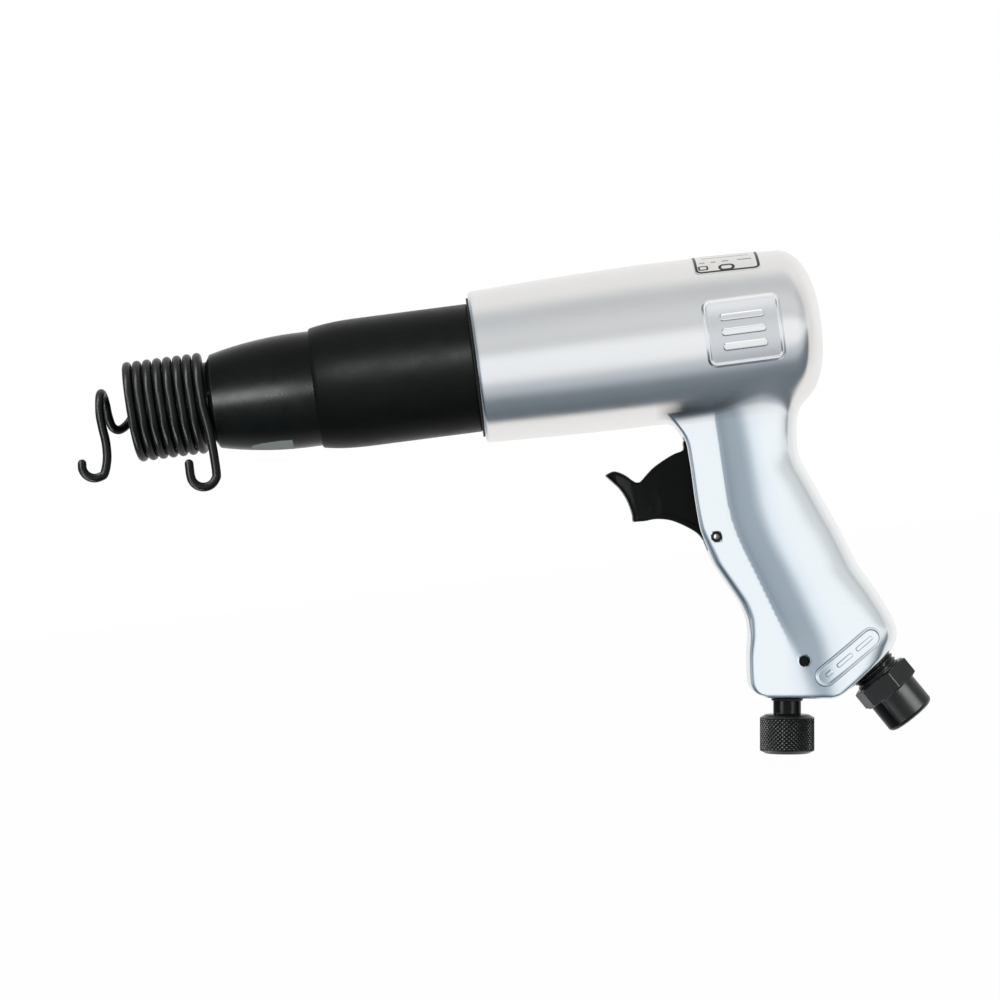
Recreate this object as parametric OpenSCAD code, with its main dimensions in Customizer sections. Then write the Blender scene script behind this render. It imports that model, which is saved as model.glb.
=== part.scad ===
// Pneumatic air hammer with a pistol grip, a regulator knob and a coil retainer for the chisel.
// The barrel lies along X with its muzzle towards -X, and the grip hangs towards -Z.
// The origin is the centre of the chisel-shank bore at the muzzle face.
// Parts behind the barrel are drawn from the housing's front face, which lies at x = housing_x.

/* [Barrel] */
// Distance from the muzzle face to the housing's front face
housing_x = 118; // [116:1:120]
// Diameter of the bore that takes the chisel shank
shank_bore_d = 10.35; // [10.25:0.05:10.6]
// Depth of the shank bore from the muzzle face
shank_bore_len = 45; // [42:1:47]
// Diameter of the bore that the piston runs in
piston_bore_d = 19.05; // [18.5:0.05:19.5]
// Outside diameter of the barrel behind its nose
barrel_d = 39.4; // [39:0.1:39.6]
// Diameter of the seat that carries the retainer
seat_d = 27.8; // [27:0.1:27.8]
// Length of the piston
piston_len = 33; // [28:1:38]

/* [Retainer] */
// Diameter of the retainer's wire
retainer_wire_d = 3.05; // [2.8:0.05:3.2]
// Diameter of the coil, measured at the middle of the wire
retainer_coil_d = 31.5; // [31.5:0.1:33]
// Distance from one turn to the next
retainer_pitch = 3.44; // [3.3:0.02:3.46]

/* [Sleeve] */
// Outside diameter of the exhaust sleeve
sleeve_d = 44; // [43:0.5:46]
// Length of the exhaust sleeve
sleeve_len = 54.7; // [52:0.1:55.2]

/* [Housing] */
// Largest diameter of the round part of the housing
housing_d = 55.2; // [54:0.2:57]
// Length of the housing from its front face to the end of its domed back
housing_len = 118.5; // [117:0.5:121]
// Diameter of the bore that holds the barrel and the valve stack
housing_bore_d = 41.2; // [41.2:0.1:42]
// Width of the grip at its narrowest height
grip_w = 29; // [28:0.5:32]
// Width of the slot that the trigger swings in
trigger_slot_w = 9.5; // [9.5:0.1:10.5]

/* [Controls] */
// Width of the trigger's finger paddle
trigger_paddle_w = 15; // [12:0.5:18]
// Diameter of the trigger pin and of the regulator pin
pin_d = 3.175; // [3:0.025:3.175]
// Diameter of the regulator spool
spool_d = 12; // [11.8:0.05:12]
// Diameter of the regulator knob
knob_d = 18.7; // [17:0.1:20]
// Length of the regulator knob
knob_len = 13.4; // [12:0.1:15]

/* [Inlet] */
// Diameter across the threads that hold the inlet bushing in the grip
inlet_thread_d = 16.5; // [16:0.1:16.5]
// Size of the inlet bushing's hexagon across its flats
inlet_hex_af = 19.05; // [18:0.05:20]
// Diameter of the tapped air inlet at its thread crests
inlet_port_d = 11.4; // [11:0.1:11.6]

/* [Hidden] */
$fn = 64;

over = 1;               // how far a cut runs past the face it opens
run_gap = 0.05;         // radial clearance of a moving fit
seat_gap = 0.02;        // gap between still parts that touch
thread_gap = 0.1;       // radial gap that stands for the thread of a screwed joint

barrel_r = barrel_d / 2;
seat_r = seat_d / 2;
bore_r = housing_bore_d / 2;
thread_r = bore_r - thread_gap;
pin_r = pin_d / 2;
spool_r = spool_d / 2;

// Places along the barrel, from the muzzle face
seat_end = 24.5;
neck_end = 26.5;
neck_r = seat_r - 0.2;
nose_start = 28;
nose_end = 58;
nose_r = 16.1;
piston_bore_x = shank_bore_len + 5;
barrel_end = housing_x + 54;
transfer_r = 1.6;
transfer_y = 14.6;
transfer_x = 60;
port_x = 85;
dowel_r = 1.5;
dowel_z = 16.2;

// Valve stack, from the barrel's back face
valve_seat_t = 8;
valve_case_t = 20;
valve_pocket_d = 18.2;
valve_pocket_t = 4;
valve_disc_t = 2.4;
washer_room = 2.2;
stack_end = barrel_end + valve_seat_t + valve_case_t - housing_x;

// Throttle, from the housing's front face
throttle_z = -46;
throttle_r = trigger_slot_w / 2;
slot_back = 79;
slot_top = -33;
slot_bottom = -72;
bushing_len = 11;
bushing_r = throttle_r - run_gap;
seal_t = 0.9;
throttle_end = 100;
seat_face = slot_back + bushing_len;
plunger_r = 1.5;
plunger_tip = 75.05;
trigger_pivot = [73.4, -67.8];
outlet_u = 86.5;

// Regulator axis, from the centre of its mouth in the grip's bottom face
regulator_mouth = [90.8, -125.5];
regulator_tilt = 7.4;
regulator_depth = 56;
regulator_pin_s = 12.8;
regulator_pin_off = 5;
stem_d = 9.525;
stem_len = 5.8;
journal_d = 7;

// Inlet axis, from the centre of its mouth in the grip's inlet face
inlet_mouth = [120.8, -118.9];
inlet_lean = 31.9;
inlet_thread_out = 3.8;
inlet_thread_in = 9.5;
inlet_hex_t = 7.1;
inlet_collar_d = 17.8;
inlet_len = 21.4;
inlet_port_len = 12;
inlet_passage_r = 4.5;

// Side outline of the grip: height, then distance behind the housing's front face
grip_front = [[-22, 58], [-25, 58.5], [-27.4, 61.5], [-28.8, 65], [-31.7, 67.5], [-35, 68.5],
    [-44, 68.5], [-53, 68.5], [-60, 68.8], [-65, 69], [-70, 70], [-77, 71.6], [-85, 75.7],
    [-91.4, 78.9], [-97, 80.6], [-103, 80.6], [-109, 79.3], [-116, 78.6], [-122, 78.2], [-134, 78]];
grip_back = [[-22, 106], [-29, 107], [-31.8, 106.2], [-37, 105.3], [-42.4, 105], [-46, 105.6],
    [-51.2, 107.9], [-63, 112.6], [-69.4, 115.3], [-83, 120], [-92.1, 125], [-100, 128.6],
    [-105.7, 130.6], [-110, 130.4], [-113, 128.6], [-134, 118]];
// Half width of the grip against height, as a share of the narrowest half width
grip_half = [[-22, 0.97], [-25, 1.14], [-28.8, 1.12], [-31.7, 1.08], [-35, 1.05], [-44, 1.02],
    [-60, 1], [-77, 1.01], [-91.4, 1.05], [-109, 1.1], [-134, 1.08]];
grip_sides = 36;
grip_power = 2.5;       // 2 is an ellipse, more is squarer

// Side outline of the round part: distance behind the front face, then radius as a share
housing_line = [[0, 0.87], [1.5, 0.92], [5, 0.946], [25, 0.975], [42, 0.989], [62, 1],
    [79, 0.991], [99.5, 0.971], [105, 0.957]];
dome_power = 2.35;
dome_steps = 12;
label_x = [77.2, 99.8];
label_half_angle = 41;
label_t = 0.3;
emblem_mid = [90.6, 0.1];
emblem_size = [26.3, 22.8];
emblem_corner = 3;
emblem_rim = 1.4;
emblem_r = housing_d / 2 + 0.45;
plate_from = [104.5, -120.2];
plate_to = [121.5, -109];
plate_r = 3.6;
plate_rise = 0.5;

steel = [0.62, 0.63, 0.65];
black = [0.07, 0.07, 0.08];
cast_alloy = [0.78, 0.80, 0.82];
rubber = [0.10, 0.10, 0.10];

// ---------- helpers ----------

function unit(v) = v / norm(v);
function signed_power(v, e) = sign(v) * pow(abs(v), e);
function carried(n, t) = unit(n - (n * t) * t);
function catmull(a, b, c, d, t) = 0.5 * (2 * b + (c - a) * t + (2 * a - 5 * b + 4 * c - d) * t * t
    + (3 * b - a - 3 * c + d) * t * t * t);
function smooth(p, steps) = [
    for (i = [0 : len(p) - 2], k = [0 : steps - 1])
        catmull(p[max(i - 1, 0)], p[i], p[i + 1], p[min(i + 2, len(p) - 1)], k / steps),
    p[len(p) - 1]];

// A solid of revolution about X; its outline is a list of [x, radius]
module turned(outline) {
    rotate([0, 90, 0]) rotate_extrude() polygon([for (p = outline) [p[1], p[0]]]);
}

module x_hole(x, r, len, y = 0, z = 0) {
    translate([x, y, z]) rotate([0, 90, 0]) cylinder(r = r, h = len);
}

// A plate cut from a side outline of [x, z] points, centred on the middle plane
module side_plate(outline, w) {
    rotate([90, 0, 0]) linear_extrude(w, center = true) polygon(outline);
}

// A ring round X with a round section
module x_ring(x, mid_r, section_r) {
    translate([x, 0, 0]) rotate([0, 90, 0]) rotate_extrude() translate([mid_r, 0]) circle(section_r, $fn = 32);
}

// A closed skin over rings of points, each ring anticlockwise seen from the next
module skin(rings) {
    sides = len(rings[0]);
    last = len(rings) - 1;
    polyhedron([for (ring = rings, p = ring) p], concat(
        [[for (k = [0 : sides - 1]) k]],
        [for (i = [0 : last - 1], k = [0 : sides - 1])
            let (a = i * sides + k, b = i * sides + (k + 1) % sides) [a, a + sides, b + sides]],
        [for (i = [0 : last - 1], k = [0 : sides - 1])
            let (a = i * sides + k, b = i * sides + (k + 1) % sides) [a, b + sides, b]],
        [[for (k = [sides - 1 : -1 : 0]) last * sides + k]]));
}

// Round wire along a path of points
module wire(path, d, sides) {
    last = len(path) - 1;
    along = [for (i = [0 : last]) unit(path[min(i + 1, last)] - path[max(i - 1, 0)])];
    across = [for (i = 0, n = carried([1, 0, 0], along[0]); i <= last;
        n = carried(n, along[min(i + 1, last)]), i = i + 1) n];
    skin([for (i = [0 : last]) [for (k = [0 : sides - 1]) let (a = 360 * k / sides)
        path[i] + d / 2 * (cos(a) * across[i] + sin(a) * cross(along[i], across[i]))]]);
}

module rounded_rectangle(size, r) {
    square([size[0] - 2 * r, size[1]], center = true);
    square([size[0], size[1] - 2 * r], center = true);
    for (x = [-1, 1], y = [-1, 1])
        translate([x * (size[0] / 2 - r), y * (size[1] / 2 - r)]) circle(r);
}

module in_housing() translate([housing_x, 0, 0]) children();

module on_regulator() translate([housing_x + regulator_mouth[0], 0, regulator_mouth[1]])
    rotate([0, regulator_tilt, 0]) children();

module on_inlet() translate([housing_x + inlet_mouth[0], 0, inlet_mouth[1]])
    rotate([0, 180 - inlet_lean, 0]) children();

// ---------- housing ----------

function housing_radius(u) = housing_d / 2 * lookup(u, housing_line);

function grip_ring(z, grow) = let (front = lookup(z, grip_front) - grow,
    back = lookup(z, grip_back) + grow, half = grip_w / 2 * lookup(z, grip_half) + grow, e = 2 / grip_power)
    [for (k = [0 : grip_sides - 1]) let (a = 360 * (k + 0.5) / grip_sides)
        [(front + back) / 2 + (back - front) / 2 * signed_power(cos(a), e),
        half * signed_power(sin(a), e), z]];

// The grip before its bores are cut, grown outwards by a distance
module grip_blank(grow = 0) {
    skin([for (i = [len(grip_front) - 1 : -1 : 0]) grip_ring(grip_front[i][0], grow)]);
}

module round_part() {
    dome_x = housing_line[len(housing_line) - 1][0];
    dome_r = housing_radius(dome_x);
    turned(concat([[0, 0]],
        [for (p = housing_line) [p[0], p[1] * housing_d / 2]],
        [for (i = [1 : dome_steps]) let (a = 90 * i / dome_steps)
            [dome_x + (housing_len - dome_x) * signed_power(sin(a), 2 / dome_power),
            i == dome_steps ? 0 : dome_r * signed_power(cos(a), 2 / dome_power)]]));
}

// Raised border on the side of the round part, with three plain bars inside it
module emblem(side) {
    bar = [15, 2.6];
    bar_pitch = 5;
    intersection() {
        turned([[70, 0], [70, emblem_r], [110, emblem_r], [110, 0]]);
        translate([emblem_mid[0], side * emblem_r, emblem_mid[1]]) rotate([90, 0, 0])
            linear_extrude(emblem_r, center = true) {
                difference() {
                    rounded_rectangle(emblem_size, emblem_corner);
                    rounded_rectangle(emblem_size - 2 * [emblem_rim, emblem_rim], emblem_corner - emblem_rim);
                }
                for (i = [-1 : 1]) translate([0, i * bar_pitch]) rounded_rectangle(bar, 1);
            }
    }
}

// Blank raised plate beside the inlet, on both sides of the grip
module inlet_plate() {
    run = plate_to - plate_from;
    intersection() {
        grip_blank(plate_rise);
        translate([plate_from[0], 0, plate_from[1]]) rotate([0, -atan2(run[1], run[0]), 0])
            rotate([90, 0, 0]) linear_extrude(2 * grip_w, center = true) {
                circle(plate_r);
                translate([norm(run), 0]) circle(plate_r);
                translate([0, -plate_r]) square([norm(run), 2 * plate_r]);
            }
    }
}

module throttle_passages() {
    feed = [throttle_end - 4.5 - regulator_mouth[0], throttle_z - regulator_mouth[1]];
    x_hole(slot_back - over, throttle_r, throttle_end - slot_back + over, 0, throttle_z);
    translate([outlet_u, 0, throttle_z]) cylinder(r = 2.2, h = -throttle_z - 8);
    translate([regulator_mouth[0], 0, regulator_mouth[1]]) rotate([0, atan2(feed[0], feed[1]), 0])
        translate([0, 0, regulator_depth / 2]) cylinder(r = 2.2, h = norm(feed) - regulator_depth / 2 - 2);
}

module handle_housing() {
    chamber_r = 15;
    chamber_end = 106;
    color(cast_alloy) difference() {
        union() {
            in_housing() {
                round_part();
                difference() {
                    union() {
                        grip_blank();
                        inlet_plate();
                    }
                    translate([regulator_mouth[0], 0, regulator_mouth[1]]) rotate([0, regulator_tilt, 0])
                        translate([-40, -30, -30]) cube([80, 60, 30]);
                    translate([inlet_mouth[0], 0, inlet_mouth[1]]) rotate([0, 180 - inlet_lean, 0])
                        translate([-40, -30, 0]) cube([80, 60, 30]);
                }
                for (side = [-1, 1]) emblem(side);
            }
        }
        in_housing() {
            turned([[-over, 0], [-over, bore_r], [stack_end + washer_room, bore_r],
                [stack_end + washer_room, chamber_r], [chamber_end - 5, chamber_r],
                [chamber_end, chamber_r - 5], [chamber_end, 0]]);
            translate([50, -trigger_slot_w / 2, slot_bottom])
                cube([slot_back - 50, trigger_slot_w, slot_top - slot_bottom]);
            translate([trigger_pivot[0], 0, trigger_pivot[1]]) rotate([90, 0, 0])
                cylinder(r = pin_r + 0.0125, h = 60, center = true);
            throttle_passages();
        }
        on_regulator() {
            translate([0, 0, -over]) cylinder(r = spool_r + run_gap, h = regulator_depth + over);
            translate([regulator_pin_off, 0, regulator_pin_s]) rotate([90, 0, 0])
                cylinder(r = pin_r, h = 60, center = true);
        }
        on_inlet() {
            translate([0, 0, -inlet_thread_in - 1]) cylinder(r = inlet_thread_d / 2 + run_gap, h = 30);
            translate([0, 0, -43]) cylinder(r = 5, h = 43);
        }
    }
}

// Thin label bent over the top of the housing
module rating_label() {
    under = concat([label_x[0]], [for (p = housing_line) if (p[0] > label_x[0] && p[0] < label_x[1]) p[0]],
        [label_x[1]]);
    inner = [for (u = under) [housing_radius(u) + seat_gap, u]];
    outer = [for (i = [len(inner) - 1 : -1 : 0]) inner[i] + [label_t, 0]];
    color([0.85, 0.86, 0.87]) in_housing() rotate([0, 90, 0]) rotate([0, 0, 180 - label_half_angle])
        rotate_extrude(angle = 2 * label_half_angle) polygon(concat(inner, outer));
}

// ---------- barrel group ----------

module barrel() {
    rise = barrel_r - nose_r;
    nose_len = nose_end - nose_start;
    arc_r = (nose_len * nose_len + rise * rise) / (2 * rise);
    thread_x = housing_x + 0.6;
    flat_turn = 17;
    flat_af = barrel_d - 1.4;
    color(black) difference() {
        turned(concat(
            [[0, 0], [0, seat_r - 1], [1, seat_r], [seat_end, seat_r], [seat_end, neck_r],
                [neck_end, neck_r], [neck_end + 1.2, nose_r - 0.3]],
            [for (i = [0 : 8]) let (x = nose_start + nose_len * i / 8, back = nose_end - x)
                [x, barrel_r - arc_r + sqrt(arc_r * arc_r - back * back)]],
            [[port_x - 7, barrel_r], [port_x - 7, barrel_r - 1.7], [port_x + 7, barrel_r - 1.7],
                [port_x + 7, barrel_r], [108.6, barrel_r], [108.6, 18], [111.4, 18], [111.4, barrel_r],
                [thread_x, barrel_r], [thread_x, thread_r], [thread_x + 23, thread_r],
                [thread_x + 23, thread_r - 1], [barrel_end - 12, thread_r - 1], [barrel_end - 12, thread_r],
                [barrel_end - 7.2, thread_r], [barrel_end - 7.2, 18.6], [barrel_end - 4.8, 18.6],
                [barrel_end - 4.8, thread_r], [barrel_end, thread_r], [barrel_end, 0]]));
        turned([[-over, 0], [-over, shank_bore_d / 2], [shank_bore_len, shank_bore_d / 2],
            [piston_bore_x, piston_bore_d / 2], [barrel_end + over, piston_bore_d / 2], [barrel_end + over, 0]]);
        for (side = [-1, 1]) {
            x_hole(transfer_x, transfer_r, barrel_end - transfer_x + over, side * transfer_y);
            translate([transfer_x + transfer_r, side * transfer_y, 0]) rotate([side * 90, 0, 0])
                cylinder(r = 1.4, h = 8);
            x_hole(barrel_end - 4, dowel_r + seat_gap, 4 + over, 0, side * dowel_z);
            rotate([side * 90 - 90 - flat_turn, 0, 0]) translate([35, -20, flat_af / 2]) cube([18, 40, 5]);
        }
        for (a = [45 : 90 : 315]) rotate([a, 0, 0]) translate([port_x, 0, piston_bore_d / 2 - over])
            cylinder(r = 2.2, h = 15);
    }
}

// Sleeve that turns the exhaust air forwards through the gap round its mouth
module exhaust_sleeve() {
    front = housing_x - 0.7 - seat_gap - sleeve_len;
    back = front + sleeve_len;
    r = sleeve_d / 2;
    color([0.05, 0.05, 0.05]) turned([[front, barrel_r + 0.3], [front, r - 1.75], [front + 0.5, r - 1.45],
        [front + 2, r - 1], [front + 5, r - 0.45], [front + 11, r - 0.12], [front + 18, r], [back - 0.5, r],
        [back, r - 0.5], [back, barrel_r + 0.12], [back - 14, barrel_r + 0.12], [back - 14, barrel_r + 0.3]]);
}

module sleeve_seal() {
    color(rubber) turned([[housing_x - 0.7, barrel_r + 0.2], [housing_x - 0.7, 24],
        [housing_x - seat_gap, 24], [housing_x - seat_gap, barrel_r + 0.2]]);
}

module sleeve_o_ring() {
    color(rubber) x_ring(110, (18 + barrel_r + 0.12) / 2, (barrel_r + 0.12 - 18) / 2 - seat_gap);
}

module barrel_o_ring() {
    color(rubber) x_ring(barrel_end - 6, (18.6 + bore_r) / 2, (bore_r - 18.6) / 2 - seat_gap);
}

module piston() {
    r = piston_bore_d / 2 - run_gap / 2;
    back = barrel_end - 0.1;
    front = back - piston_len;
    color(steel) turned([[front, 0], [front, r - 4], [front + 3, r - 0.6], [front + 3.6, r], [back - 9, r],
        [back - 9, r - 0.7], [back - 7.5, r - 0.7], [back - 7.5, r], [back - 0.8, r], [back, r - 0.8],
        [back, 4], [back - 3, 3], [back - 3, 0]]);
}

// ---------- valve stack ----------

module stack_holes(x, len) {
    for (side = [-1, 1]) {
        x_hole(x, transfer_r, len, side * transfer_y);
        x_hole(x, dowel_r + seat_gap, len, 0, side * dowel_z);
    }
}

module stack_block(x, len) {
    r = bore_r - 0.3;
    turned([[x, 0], [x, r - 0.5], [x + 0.5, r], [x + len - 0.5, r], [x + len, r - 0.5], [x + len, 0]]);
}

module valve_seat() {
    x = barrel_end + seat_gap;
    color(steel) difference() {
        stack_block(x, valve_seat_t - 2 * seat_gap);
        x_hole(x - over, 4, valve_seat_t + 2 * over);
        stack_holes(x - over, valve_seat_t + 2 * over);
        for (a = [0 : 60 : 300]) rotate([a + 30, 0, 0]) x_hole(x - over, 0.9, valve_seat_t + 2 * over, 7);
    }
}

module valve_disc() {
    x = barrel_end + valve_seat_t + run_gap;
    r = valve_pocket_d / 2 - run_gap;
    color(steel) turned([[x, 2.2], [x, r - 0.3], [x + 0.3, r], [x + valve_disc_t - 0.3, r],
        [x + valve_disc_t, r - 0.3], [x + valve_disc_t, 2.2]]);
}

module valve_case() {
    x = barrel_end + valve_seat_t;
    color(steel) difference() {
        stack_block(x, valve_case_t);
        x_hole(x - over, valve_pocket_d / 2, valve_pocket_t + over);
        x_hole(x, 3, valve_case_t + over);
        for (side = [-1, 1]) {
            x_hole(x - over, transfer_r, valve_pocket_t + over, side * transfer_y);
            x_hole(x - over, dowel_r + seat_gap, 11, 0, side * dowel_z);
            translate([x + valve_pocket_t - transfer_r, 0, 0]) rotate([side * 90, 0, 0])
                cylinder(r = 1.2, h = transfer_y);
        }
        for (a = [0 : 60 : 300]) rotate([a + 30, 0, 0]) x_hole(x - over, 1.5, valve_case_t + 2 * over, 6.6);
    }
}

module valve_dowels() {
    color(steel) for (side = [-1, 1]) translate([barrel_end - 3.9, 0, side * dowel_z]) rotate([0, 90, 0])
        cylinder(r = dowel_r, h = 3.9 + valve_seat_t + 9.8);
}

// Dished spring washer that holds the valve stack against the barrel
module valve_spring_washer() {
    x = housing_x + stack_end + run_gap;
    t = 0.8;
    rise = 1.2;
    color(steel) turned([[x, 16], [x + rise, bore_r - 0.5], [x + rise + t, bore_r - 0.5], [x + t, 16]]);
}

// ---------- trigger and throttle ----------

module trigger() {
    web_w = trigger_slot_w - 1;
    web = [[49, -47], [50.4, -46], [55, -42], [59.7, -39.4], [63.2, -37.9], [67, -37], [71.5, -37],
        [75, -40.5], [75, -53], [77.4, -66.8], [71.4, -70.3], [69.4, -68.8], [67.9, -66.5], [65.6, -64.4],
        [62, -62], [58.5, -60.3], [54.4, -59.4], [50, -59.4]];
    paddle = [[38.8, -42.6], [40.4, -41.5], [42.4, -41.3], [45.6, -43], [49.1, -46.3], [50.6, -52],
        [52, -59.4], [46.8, -59.4], [46.2, -58.5], [46.1, -56.5], [45, -51.8], [43.2, -47.9], [40.9, -45]];
    color(black) in_housing() difference() {
        union() {
            side_plate(web, web_w);
            side_plate(paddle, trigger_paddle_w);
            translate([trigger_pivot[0], 0, trigger_pivot[1]]) rotate([90, 0, 0])
                cylinder(r = 3.6, h = web_w, center = true);
        }
        translate([trigger_pivot[0], 0, trigger_pivot[1]]) rotate([90, 0, 0])
            cylinder(r = pin_r + run_gap, h = 60, center = true);
    }
}

// Rolled spring pin with its slit towards the back, ending flush with the grip's rounded flanks
module trigger_pin() {
    len = 0.7 * grip_w;
    color(steel) in_housing() translate([trigger_pivot[0], 0, trigger_pivot[1]]) rotate([90, 0, 0])
        difference() {
            cylinder(r = pin_r, h = len, center = true);
            cylinder(r = pin_r - 0.65, h = len + 2 * over, center = true);
            translate([0, -0.25, -len]) cube([4, 0.5, 2 * len]);
        }
}

module throttle_plunger() {
    color(steel) in_housing() translate([0, 0, throttle_z]) turned([[plunger_tip, 0],
        for (i = [1 : 4]) let (a = 22.5 * i) [plunger_tip + plunger_r * (1 - cos(a)), plunger_r * sin(a)],
        [seat_face - 1.1, plunger_r], [seat_face - 1.1, 0]]);
}

// Guide for the plunger with the throttle's seat on its back face
module throttle_bushing() {
    groove = slot_back + 2;
    guide_end = slot_back + 4.5;
    guide_r = plunger_r + run_gap;
    chamber_r = 2.9;
    color([0.72, 0.58, 0.30]) in_housing() translate([0, 0, throttle_z]) difference() {
        turned([[slot_back, guide_r], [slot_back, bushing_r], [groove, bushing_r], [groove, bushing_r - 1],
            [groove + 1.5, bushing_r - 1], [groove + 1.5, bushing_r], [seat_face - 0.4, bushing_r],
            [seat_face, bushing_r - 0.4], [seat_face, chamber_r], [guide_end, chamber_r], [guide_end, guide_r]]);
        translate([outlet_u, 0, 0]) cylinder(r = 2, h = 6);
    }
}

module throttle_bushing_o_ring() {
    inner = bushing_r - 1;
    color(rubber) in_housing() translate([0, 0, throttle_z])
        x_ring(slot_back + 2.75, (inner + throttle_r) / 2, (throttle_r - inner) / 2 - seat_gap);
}

module throttle_valve() {
    x = seat_face + seat_gap + seal_t + seat_gap;
    color([0.72, 0.58, 0.30]) in_housing() translate([0, 0, throttle_z]) turned([[seat_face - 1, 0],
        [seat_face - 1, 1.15], [x, 1.15], [x, 4.3], [x + 1.6, 4.3], [x + 1.6, 2.4], [x + 3.4, 2.2],
        [x + 3.4, 0]]);
}

module throttle_valve_seal() {
    x = seat_face + seat_gap;
    color(rubber) in_housing() translate([0, 0, throttle_z])
        turned([[x, 1.2], [x, 4.1], [x + seal_t, 4.1], [x + seal_t, 1.2]]);
}

// Path of a coil round X from x0 to x1
function coil_path(x0, x1, r, turns, steps) = [for (i = [0 : turns * steps])
    let (a = 360 * i / steps) [x0 + (x1 - x0) * i / (turns * steps), -r * sin(a), r * cos(a)]];

module throttle_spring() {
    d = 0.7;
    front = seat_face + 2 * seat_gap + seal_t + 1.6;
    color(steel) in_housing() translate([0, 0, throttle_z])
        wire(coil_path(front + d / 2 + run_gap, throttle_end - d / 2 - run_gap, 3.3, 4, 16), d, 8);
}

// ---------- regulator ----------

// Round shape along the regulator axis; its outline is a list of [distance, radius]
module regulator_turned(outline) {
    on_regulator() rotate_extrude() polygon([for (p = outline) [p[1], p[0]]]);
}

module regulator_spool() {
    top = regulator_depth - 4;
    port_s = 45.9;
    stem_r = stem_d / 2;
    pin_groove_r = regulator_pin_off - pin_r - run_gap;
    pin_groove = pin_r + 0.1;
    color(steel) difference() {
        regulator_turned([[-stem_len - 8, 0], [-stem_len - 8, journal_d / 2], [-stem_len, journal_d / 2],
            [-stem_len, stem_r], [1.2, stem_r], [1.2, spool_r], [5.4, spool_r], [5.4, spool_r - 1.4],
            [8, spool_r - 1.4], [8, spool_r], [regulator_pin_s - pin_groove, spool_r],
            [regulator_pin_s - pin_groove, pin_groove_r], [regulator_pin_s + pin_groove, pin_groove_r],
            [regulator_pin_s + pin_groove, spool_r], [top, spool_r], [top, 0]]);
        on_regulator() {
            translate([0, 0, top - 14]) cylinder(r = 4, h = 15);
            translate([0, 0, port_s]) rotate([0, 90, 0]) cylinder(r = 3, h = 10);
            translate([-stem_d, 0, -stem_len - 4.2]) rotate([0, 90, 0]) cylinder(r = 1, h = stem_d - 2.6);
        }
    }
}

module regulator_o_ring() {
    inner = spool_r - 1.4;
    outer = spool_r + run_gap;
    color(rubber) on_regulator() translate([0, 0, 6.7]) rotate_extrude()
        translate([(inner + outer) / 2, 0]) circle((outer - inner) / 2 - seat_gap, $fn = 32);
}

module regulator_dust_ring() {
    section_r = 0.55;
    color(rubber) on_regulator() translate([0, 0, -section_r - seat_gap]) rotate_extrude()
        translate([stem_d / 2 + section_r + seat_gap, 0]) circle(section_r, $fn = 32);
}

// Cross pin that rides in the spool's groove and keeps it in the grip
module regulator_pin() {
    color(steel) on_regulator() translate([regulator_pin_off, 0, regulator_pin_s]) rotate([90, 0, 0])
        cylinder(r = pin_r - 0.02, h = grip_w - 7, center = true);
}

module regulator_knob() {
    top = -stem_len - seat_gap;
    bottom = top - knob_len;
    r = knob_d / 2;
    face_r = r - 2;
    color(black) difference() {
        regulator_turned([[top, journal_d / 2 + seat_gap], [top, face_r], [top - 1.1, r], [bottom + 1, r],
            [bottom, face_r], [bottom, 0], [top - 8.2, 0], [top - 8.2, journal_d / 2 + seat_gap]]);
        on_regulator() translate([0, 0, -stem_len - 4.2]) rotate([0, -90, 0]) cylinder(r = 1.55, h = knob_d);
    }
}

module knob_set_screw() {
    screw_r = 1.5;
    hex_af = 1.5;
    outer = knob_d / 2 - 0.9;
    inner = journal_d / 2 + 0.1;
    color(steel) on_regulator() translate([0, 0, -stem_len - 4.2]) rotate([0, -90, 0]) difference() {
        translate([0, 0, inner]) cylinder(r = screw_r, h = outer - inner);
        translate([0, 0, outer - 1.8]) cylinder(r = hex_af / 2 / cos(30), h = 3, $fn = 6);
    }
}

// ---------- inlet ----------

module inlet_bushing() {
    hex_from = inlet_thread_out;
    hex_to = hex_from + inlet_hex_t;
    thread_r = inlet_thread_d / 2;
    corner_r = inlet_hex_af / 2 / cos(30);
    collar_r = inlet_collar_d / 2;
    hex_turn = 17;
    color(black) on_inlet() difference() {
        union() {
            rotate_extrude() polygon([[0, -inlet_thread_in], [thread_r - 0.8, -inlet_thread_in],
                [thread_r, 0.8 - inlet_thread_in], [thread_r, hex_from + 0.5], [0, hex_from + 0.5]]);
            intersection() {
                translate([0, 0, hex_from]) rotate([0, 0, hex_turn])
                    cylinder(r = corner_r, h = inlet_hex_t, $fn = 6);
                rotate_extrude() polygon([[0, hex_from], [corner_r - 1.2, hex_from],
                    [corner_r, hex_from + 0.6], [corner_r, hex_to - 0.6], [corner_r - 1.2, hex_to],
                    [0, hex_to]]);
            }
            rotate_extrude() polygon([[0, hex_to - 0.5], [collar_r, hex_to - 0.5],
                [collar_r, inlet_len - 0.8], [collar_r - 0.8, inlet_len], [0, inlet_len]]);
        }
        translate([0, 0, inlet_len - inlet_port_len]) cylinder(d = inlet_port_d, h = inlet_port_len + over);
        translate([0, 0, -inlet_thread_in - over]) cylinder(r = inlet_passage_r, h = inlet_len);
    }
}

// Strainer disc at the bottom of the inlet thread
module inlet_screen() {
    hole_r = 0.7;
    pitch = 2.2;
    color(steel) on_inlet() difference() {
        translate([0, 0, -inlet_thread_in - 0.95]) cylinder(r = inlet_thread_d / 2 - 0.05, h = 0.9);
        translate([0, 0, -inlet_thread_in - 2]) {
            cylinder(r = hole_r, h = 4);
            for (ring = [1 : 2], i = [0 : 6 * ring - 1]) rotate([0, 0, 60 * i / ring])
                translate([ring * pitch * 0.95, 0, 0]) cylinder(r = hole_r, h = 4);
        }
    }
}

// ---------- retainer ----------

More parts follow.
